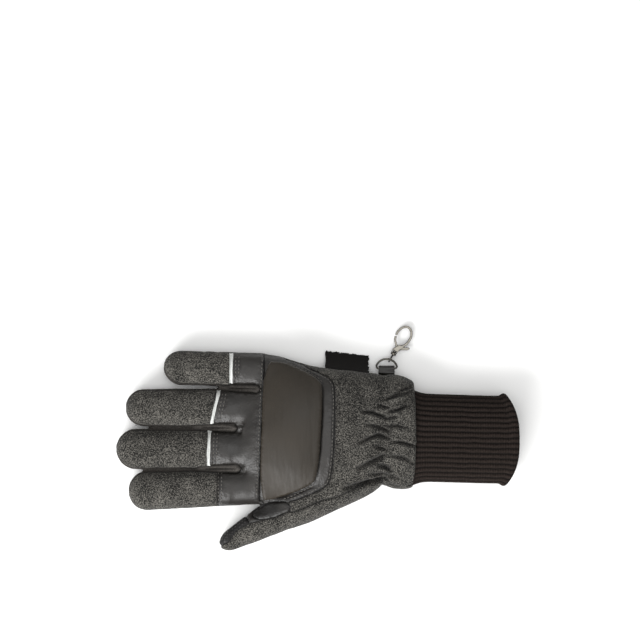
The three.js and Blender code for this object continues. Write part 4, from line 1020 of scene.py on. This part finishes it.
def rib_height(at):
    """How high each point of a ring lies on its rib, from 0 in a valley; the ribs wander a little."""
    drift = [0.11 * noise.noise(Vector((at * 9, k / rib_points * 0.4, 0))) * rib_points
             for k in range(rib_sides)]
    return np.abs(np.cos(np.pi * (np.arange(rib_sides) + drift) / rib_points))


def cuff_ring(at, grow, ribbed, shift=0.0):
    """One ring of the knit, evenly divided, so that every rib has the same width."""
    wide = smooth_through([0, 0.9, 0.96, 1], [1, 0.995, 1.05, 1.03], at)
    high = smooth_through([0, 0.9, 0.96, 1], [1, 1, 1.06, 1.03], at)
    flare = 4.6 * math.exp(-(at * cuff_length / 9) ** 2)
    half = cuff_width * wide / 2 + grow + flare
    up_half = cuff_height * high / 2 + grow
    side, up = rounded_section(1440, half, up_half, min(up_half, cuff_height / 2 + grow), 2.2, 2.6)
    loop = np.column_stack([side, up])
    loop = np.concatenate([loop, loop[:1]])
    run = run_along(loop)
    flat = spots_at(loop, run, np.linspace(0, run[-1], rib_sides, endpoint=False))
    flat = flat + left_of(flat) * (ribbed * rib_depth * (1 - rib_height(at) ** 0.7))[:, None]
    bow = cuff_bow * max(0, at - 0.5) * 2
    back = bow * (np.abs(flat[:, 0] / half) ** 2.8 - 0.15)
    x = cuff_start + (cuff_end - cuff_bow * 0.25 - cuff_start) * at + shift
    sway = -1.9 * smooth_through([0, 0.2, 0.95, 1], [0, 0.25, 1, 1], at)
    return np.column_stack([x - back, cuff_middle + sway + flat[:, 0], cuff_seam + flat[:, 1]])


cuff_rings = [(at, 0, 1) for at in np.linspace(0, 0.985, 84)]
cuff_rings += [(1, -cuff_wall / 2 * (1 - math.cos(t)), 1 - t / 4, -1.3 + 1.3 * math.sin(t))
               for t in np.linspace(0.3, math.pi - 0.3, 7)]
cuff_rings += [(at, -cuff_wall, 0.3) for at in np.linspace(0.985, 0, 40)]
cuff_points, cuff_faces = tube([cuff_ring(*ring) for ring in cuff_rings])
cuff_faces = [f for f in cuff_faces if len(f) == 4]
last = len(cuff_points) - rib_sides
cuff_faces += [[last + k, last + (k + 1) % rib_sides, (k + 1) % rib_sides, k] for k in range(rib_sides)]
cuff_points[:, 2] = cuff_points[:, 2].clip(0.05)
cuff = new_object("rib_knit_wrist", cuff_points, cuff_faces, rib_yarn)
# Painted shade in the rib valleys and near the hem, where the knit goes under the shell.
rib_and_hem_shade = [np.maximum(1 - rib_height(at) ** 0.8, math.exp(-max(0, at * cuff_length - 4) / 3))
                for at, *_ in cuff_rings]
layer = cuff.data.attributes.new("painted_shade", "FLOAT", "POINT")
layer.data.foreach_set("value", np.concatenate(rib_and_hem_shade).astype(np.float32))
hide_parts("knit_cuff")
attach(cuff, "glove")
cuff_surface = BVHTree.FromPolygons(cuff_points.tolist(), cuff_faces)

# Pull strip: goatskin sewn flat along the palm side of the knit, from the hem to the open end.
strip_columns = 25
strip_grid = []
for u in np.linspace(0, 1, 60):
    middle = cuff_middle + 18.5 - 6.4 * u
    half = 12 - u
    row = []
    for v in np.linspace(-1, 1, strip_columns):
        aside = abs(middle + half * v - cuff_middle + 1.9) / (cuff_width * 0.515)
        end = cuff_end - cuff_bow * (0.1 + aside ** 2.8)
        x = hem_x + 0.8 + (end - 1.5 - hem_x - 0.8) * u
        hit, out, _, _ = cuff_surface.ray_cast(Vector((x, middle + half * v, -60)), Vector((0, 0, 1)))
        row.append((x, middle + half * v, (hit.z if hit else 3.0)))
    strip_grid.append(row)
strip_grid = np.array(strip_grid)
for _ in range(12):
    strip_grid[:, 1:-1, 2] = (strip_grid[:, :-2, 2] + strip_grid[:, 1:-1, 2] * 2 + strip_grid[:, 2:, 2]) / 4
rise = 1 - np.abs(np.linspace(-1, 1, strip_columns)) ** 12 * 0.6
strip_low = strip_grid - np.array([0, 0, 1.0]) * (0.5 + 1.3 * rise[None, :, None])
strip_low[:, :, 2] = strip_low[:, :, 2].clip(0.02)
strip = two_grids("goatskin_cuff_strip", strip_low, strip_grid - np.array([0, 0, 0.4]), goatskin)
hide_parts("cuff_strip")
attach(strip, "glove")

# Label: a bare woven polyester tab, folded and caught in the side seam. It droops to the table.
label_cloth, tree, shader, place = new_material("woven_polyester_label", Roughness=0.85,
                                                Specular_IOR_Level=0.2)
weft = add_node(tree, "ShaderNodeTexWave", {"bands_direction": "Y"}, {
    "Vector": place, "Scale": 0.314 / (0.8 * MM), "Distortion": 0.4})
label_mix = add_node(tree, "ShaderNodeMix", {"data_type": "RGBA"}, {
    0: weft.outputs["Fac"], 6: linear("#070606"), 7: linear("#161412")})
tree.links.new(label_mix.outputs[2], shader.inputs["Base Color"])
label_bump = add_node(tree, "ShaderNodeBump", inputs={
    "Strength": 0.5, "Distance": 0.15 * MM, "Height": weft.outputs["Fac"]})
tree.links.new(label_bump.outputs[0], shader.inputs["Normal"])
label_grid = []
for u in np.linspace(-0.5, 0.5, 60):
    x = hand_x(0.57) + 33 * u
    edge = hand_y(float(np.interp((x - knuckle_x) / hand_length, hand_rows[:, 0], hand_rows[:, 2]))) + 0.55
    row = []
    for v in np.linspace(0, 1, 16):
        z = seam_height + (0.65 - seam_height) * math.sin(v * math.pi / 2)
        wave = 0.5 * math.sin(6 * u + 2) * v * (1 - v) * 2
        fray = (noise.noise(Vector((x * 0.7, 3, 0))) + 0.6 * noise.noise(Vector((x * 1.9, 5, 0)))) * v ** 6
        side_fray = 1.2 * noise.noise(Vector((7, v * 11, 0))) * max(0, 2 * u) ** 9
        row.append((x + 0.4 * math.sin(9 * v) * u + side_fray, edge - 0.8 + 13.1 * v + fray * 1.3, z + wave))
    label_grid.append(row)
label_grid = np.array(label_grid)
label_tab = two_grids("woven_label", label_grid + [0, 0, 0.45], label_grid - [0, 0, 0.4], label_cloth, True)
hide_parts("label_tab")
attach(label_tab, "glove")


# Ring loop: a strap of goatskin folded round the ring's bar and sewn to the palm.
def softened(name, node, cell, rounds, material):
    """A piece with a CAD node's shape, its edges rounded as a worn or cast edge is."""
    piece = bpy.data.objects.new(name, frame["nodes"][node].data.copy())
    scene.collection.objects.link(piece)
    points, squares = even_skin(piece, cell)
    return new_object(name, relaxed(points, edges_of(squares)[0], rounds), squares, material)


loop = softened("goatskin_ring_loop", "ring_loop", 0.4, 6, goatskin)
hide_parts("ring_loop")
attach(loop, "glove")

# Ring, swivel and snap hook: zinc die castings and bent steel wire under bright nickel plate. The plate
# mirrors its surroundings, with a faint haze from tumbling.
nickel, tree, shader, place = new_material("bright_nickel_plate", Metallic=1.0)
haze = add_node(tree, "ShaderNodeTexNoise", inputs={"Vector": place, "Scale": 1 / (2.5 * MM), "Detail": 4.0})
nickel_mix = add_node(tree, "ShaderNodeMix", {"data_type": "RGBA"}, {
    0: haze.outputs["Fac"], 6: linear("#5b5852"), 7: linear("#8d8980")})
# Painted dark reflection: the colour goes near black where the plate turns away from the view, along every
# rim.
turned_away = add_node(tree, "ShaderNodeLayerWeight", inputs={"Blend": 0.42})
painted_dark_rim = add_node(tree, "ShaderNodeMapRange", {"interpolation_type": "SMOOTHSTEP"}, {
    "Value": turned_away.outputs["Facing"], "From Min": 0.01, "From Max": 0.17})
nickel_painted_rim = add_node(tree, "ShaderNodeMix", {"data_type": "RGBA"}, {
    0: painted_dark_rim.outputs[0], 6: nickel_mix.outputs[2], 7: linear("#100f0e")})
tree.links.new(nickel_painted_rim.outputs[2], shader.inputs["Base Color"])
nickel_gloss = add_node(tree, "ShaderNodeMapRange", inputs={
    "Value": haze.outputs["Fac"], "To Min": 0.14, "To Max": 0.3})
tree.links.new(nickel_gloss.outputs[0], shader.inputs["Roughness"])
for node, body in (("d_ring", "ring"), ("swivel_eye", "ring"), ("hook_body", "hook"), ("gate_lever", "gate")):
    piece = softened("nickel_" + node, node, 0.22, 5, nickel)
    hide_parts(node)
    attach(piece, body)

# Thread: bonded polyester, three-ply, charcoal. Each stitch of the lockstitch rows is 2 mm long, arched
# over the leather and pulled in at both ends; the thread is drawn 0.5 mm thick.
thread, tree, shader, place = new_material("bonded_polyester_thread", Roughness=0.6)
ply = add_node(tree, "ShaderNodeTexNoise", inputs={"Vector": place, "Scale": 1 / (0.6 * MM)})
ply_mix = add_node(tree, "ShaderNodeMix", {"data_type": "RGBA"}, {
    0: ply.outputs["Fac"], 6: linear("#383532"), 7: linear("#6b6761")})
tree.links.new(ply_mix.outputs[2], shader.inputs["Base Color"])
ply_bump = add_node(tree, "ShaderNodeBump", inputs={
    "Strength": 0.4, "Distance": 0.1 * MM, "Height": ply.outputs["Fac"]})
tree.links.new(ply_bump.outputs[0], shader.inputs["Normal"])


def surface_of(names):
    """One surface to sew through, from the shown pieces with these names."""
    points, faces = [], []
    for name in names:
        mesh = bpy.data.objects[name].data
        start = len(points)
        points += [v.co / MM for v in mesh.vertices]
        faces += [[start + k for k in p.vertices] for p in mesh.polygons]
    return BVHTree.FromPolygons(points, faces)


def stitches(name, rows, surface, top, pitch=2.8, long=1.9, radius=0.32):
    """One piece of thread for several rows: each stitch a small arched sausage on the surface."""
    turn = np.linspace(0, 2 * np.pi, 6, endpoint=False)
    along = np.array([-1, -0.7, 0, 0.7, 1])
    points, faces = [], []
    for row in rows:
        row = np.asarray(row, float)
        run = run_along(row)
        for at in np.arange(pitch / 2, run[-1] - pitch / 3, pitch):
            spots = []
            for x, y in spots_at(row, run, at + np.array([-long / 2, long / 2])):
                hit, out = met(surface, x, y, top)
                if hit is None or abs(out.z) < 0.15:
                    break
                spots.append(np.array(hit))
            if len(spots) < 2:
                continue
            out = np.array(out if out.z * (1 if top else -1) > 0 else -out)
            middle, way = (spots[0] + spots[1]) / 2, spots[1] - spots[0]
            way /= np.linalg.norm(way)
            side = np.cross(out, way)
            side /= np.linalg.norm(side)
            up = np.cross(way, side)
            rings = []
            for t in along:
                size = radius * (1 - 0.45 * abs(t) ** 3)
                centre = middle + way * t * long / 2 + up * (0.28 * (1 - t * t) - 0.12)
                rings.append([centre + side * size * math.cos(a) + up * size * math.sin(a) for a in turn])
            corners, joins = tube(rings)
            faces += [[len(points) + k for k in join] for join in joins]
            points += corners.tolist()
    points = np.array(points)
    points[:, 2] = points[:, 2].clip(0.01)
    piece = new_object(name, points, faces, thread)
    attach(piece, "glove")


shell_names = ["shell_" + n for n in panel_names]
stitches("thread_on_back", back_rows, shell_surface, True)
palm_surface = surface_of(shell_names + ["goatskin_" + n for n in patches] + ["brushed_palm_heel"])
palm_rows = []
for corners in list(patches.values()) + [heel_corners]:
    edge = rounded_outline(hand_points(corners), 1.5, 3)
    off = left_of(edge)
    if edge_distance(edge[:1] + off[:1] * 0.5, edge)[0] < 0:
        off = -off
    for deep in (1.7, 4.0):
        row = edge + off * deep
        keep = edge_distance(row, edge) > deep - 0.4
        palm_rows.append(row[keep])
for finger in fingers:
    for off in (-1.9, 1.9):
        x = knuckle_x - finger["seam"] + off
        middle, half = finger_centre(finger, x), finger["width"] / 2 - 3.5
        palm_rows.append(line_through([(x, middle - half), (x, middle + half)]))
hem_line = [(hem_x - 2 + 3 * math.cos(y / 44 * math.pi / 2) ** 0.5, y - 2) for y in np.linspace(-36, 34, 30)]
palm_rows.append(line_through(hem_line))
stitches("thread_on_palm", palm_rows, palm_surface, False)
strip_rows = [strip_grid[2:-2, column, :2] for column in (2, 22)]
stitches("thread_on_cuff_strip", strip_rows, surface_of(["goatskin_cuff_strip"]), False)
loop_low, loop_high = [np.array(corner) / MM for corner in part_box("ring_loop")]
loop_x = loop_low[0] + 1.3, loop_high[0] - 1.3
loop_y = loop_low[1] + 1.3, loop_low[1] + 9.5
box_row = line_through([(loop_x[i], loop_y[j]) for i, j in ((0, 0), (1, 0), (1, 1), (0, 1), (0, 0))], 1)
stitches("thread_on_loop", [box_row], surface_of(["goatskin_ring_loop"]), False, pitch=2.4, long=1.7)
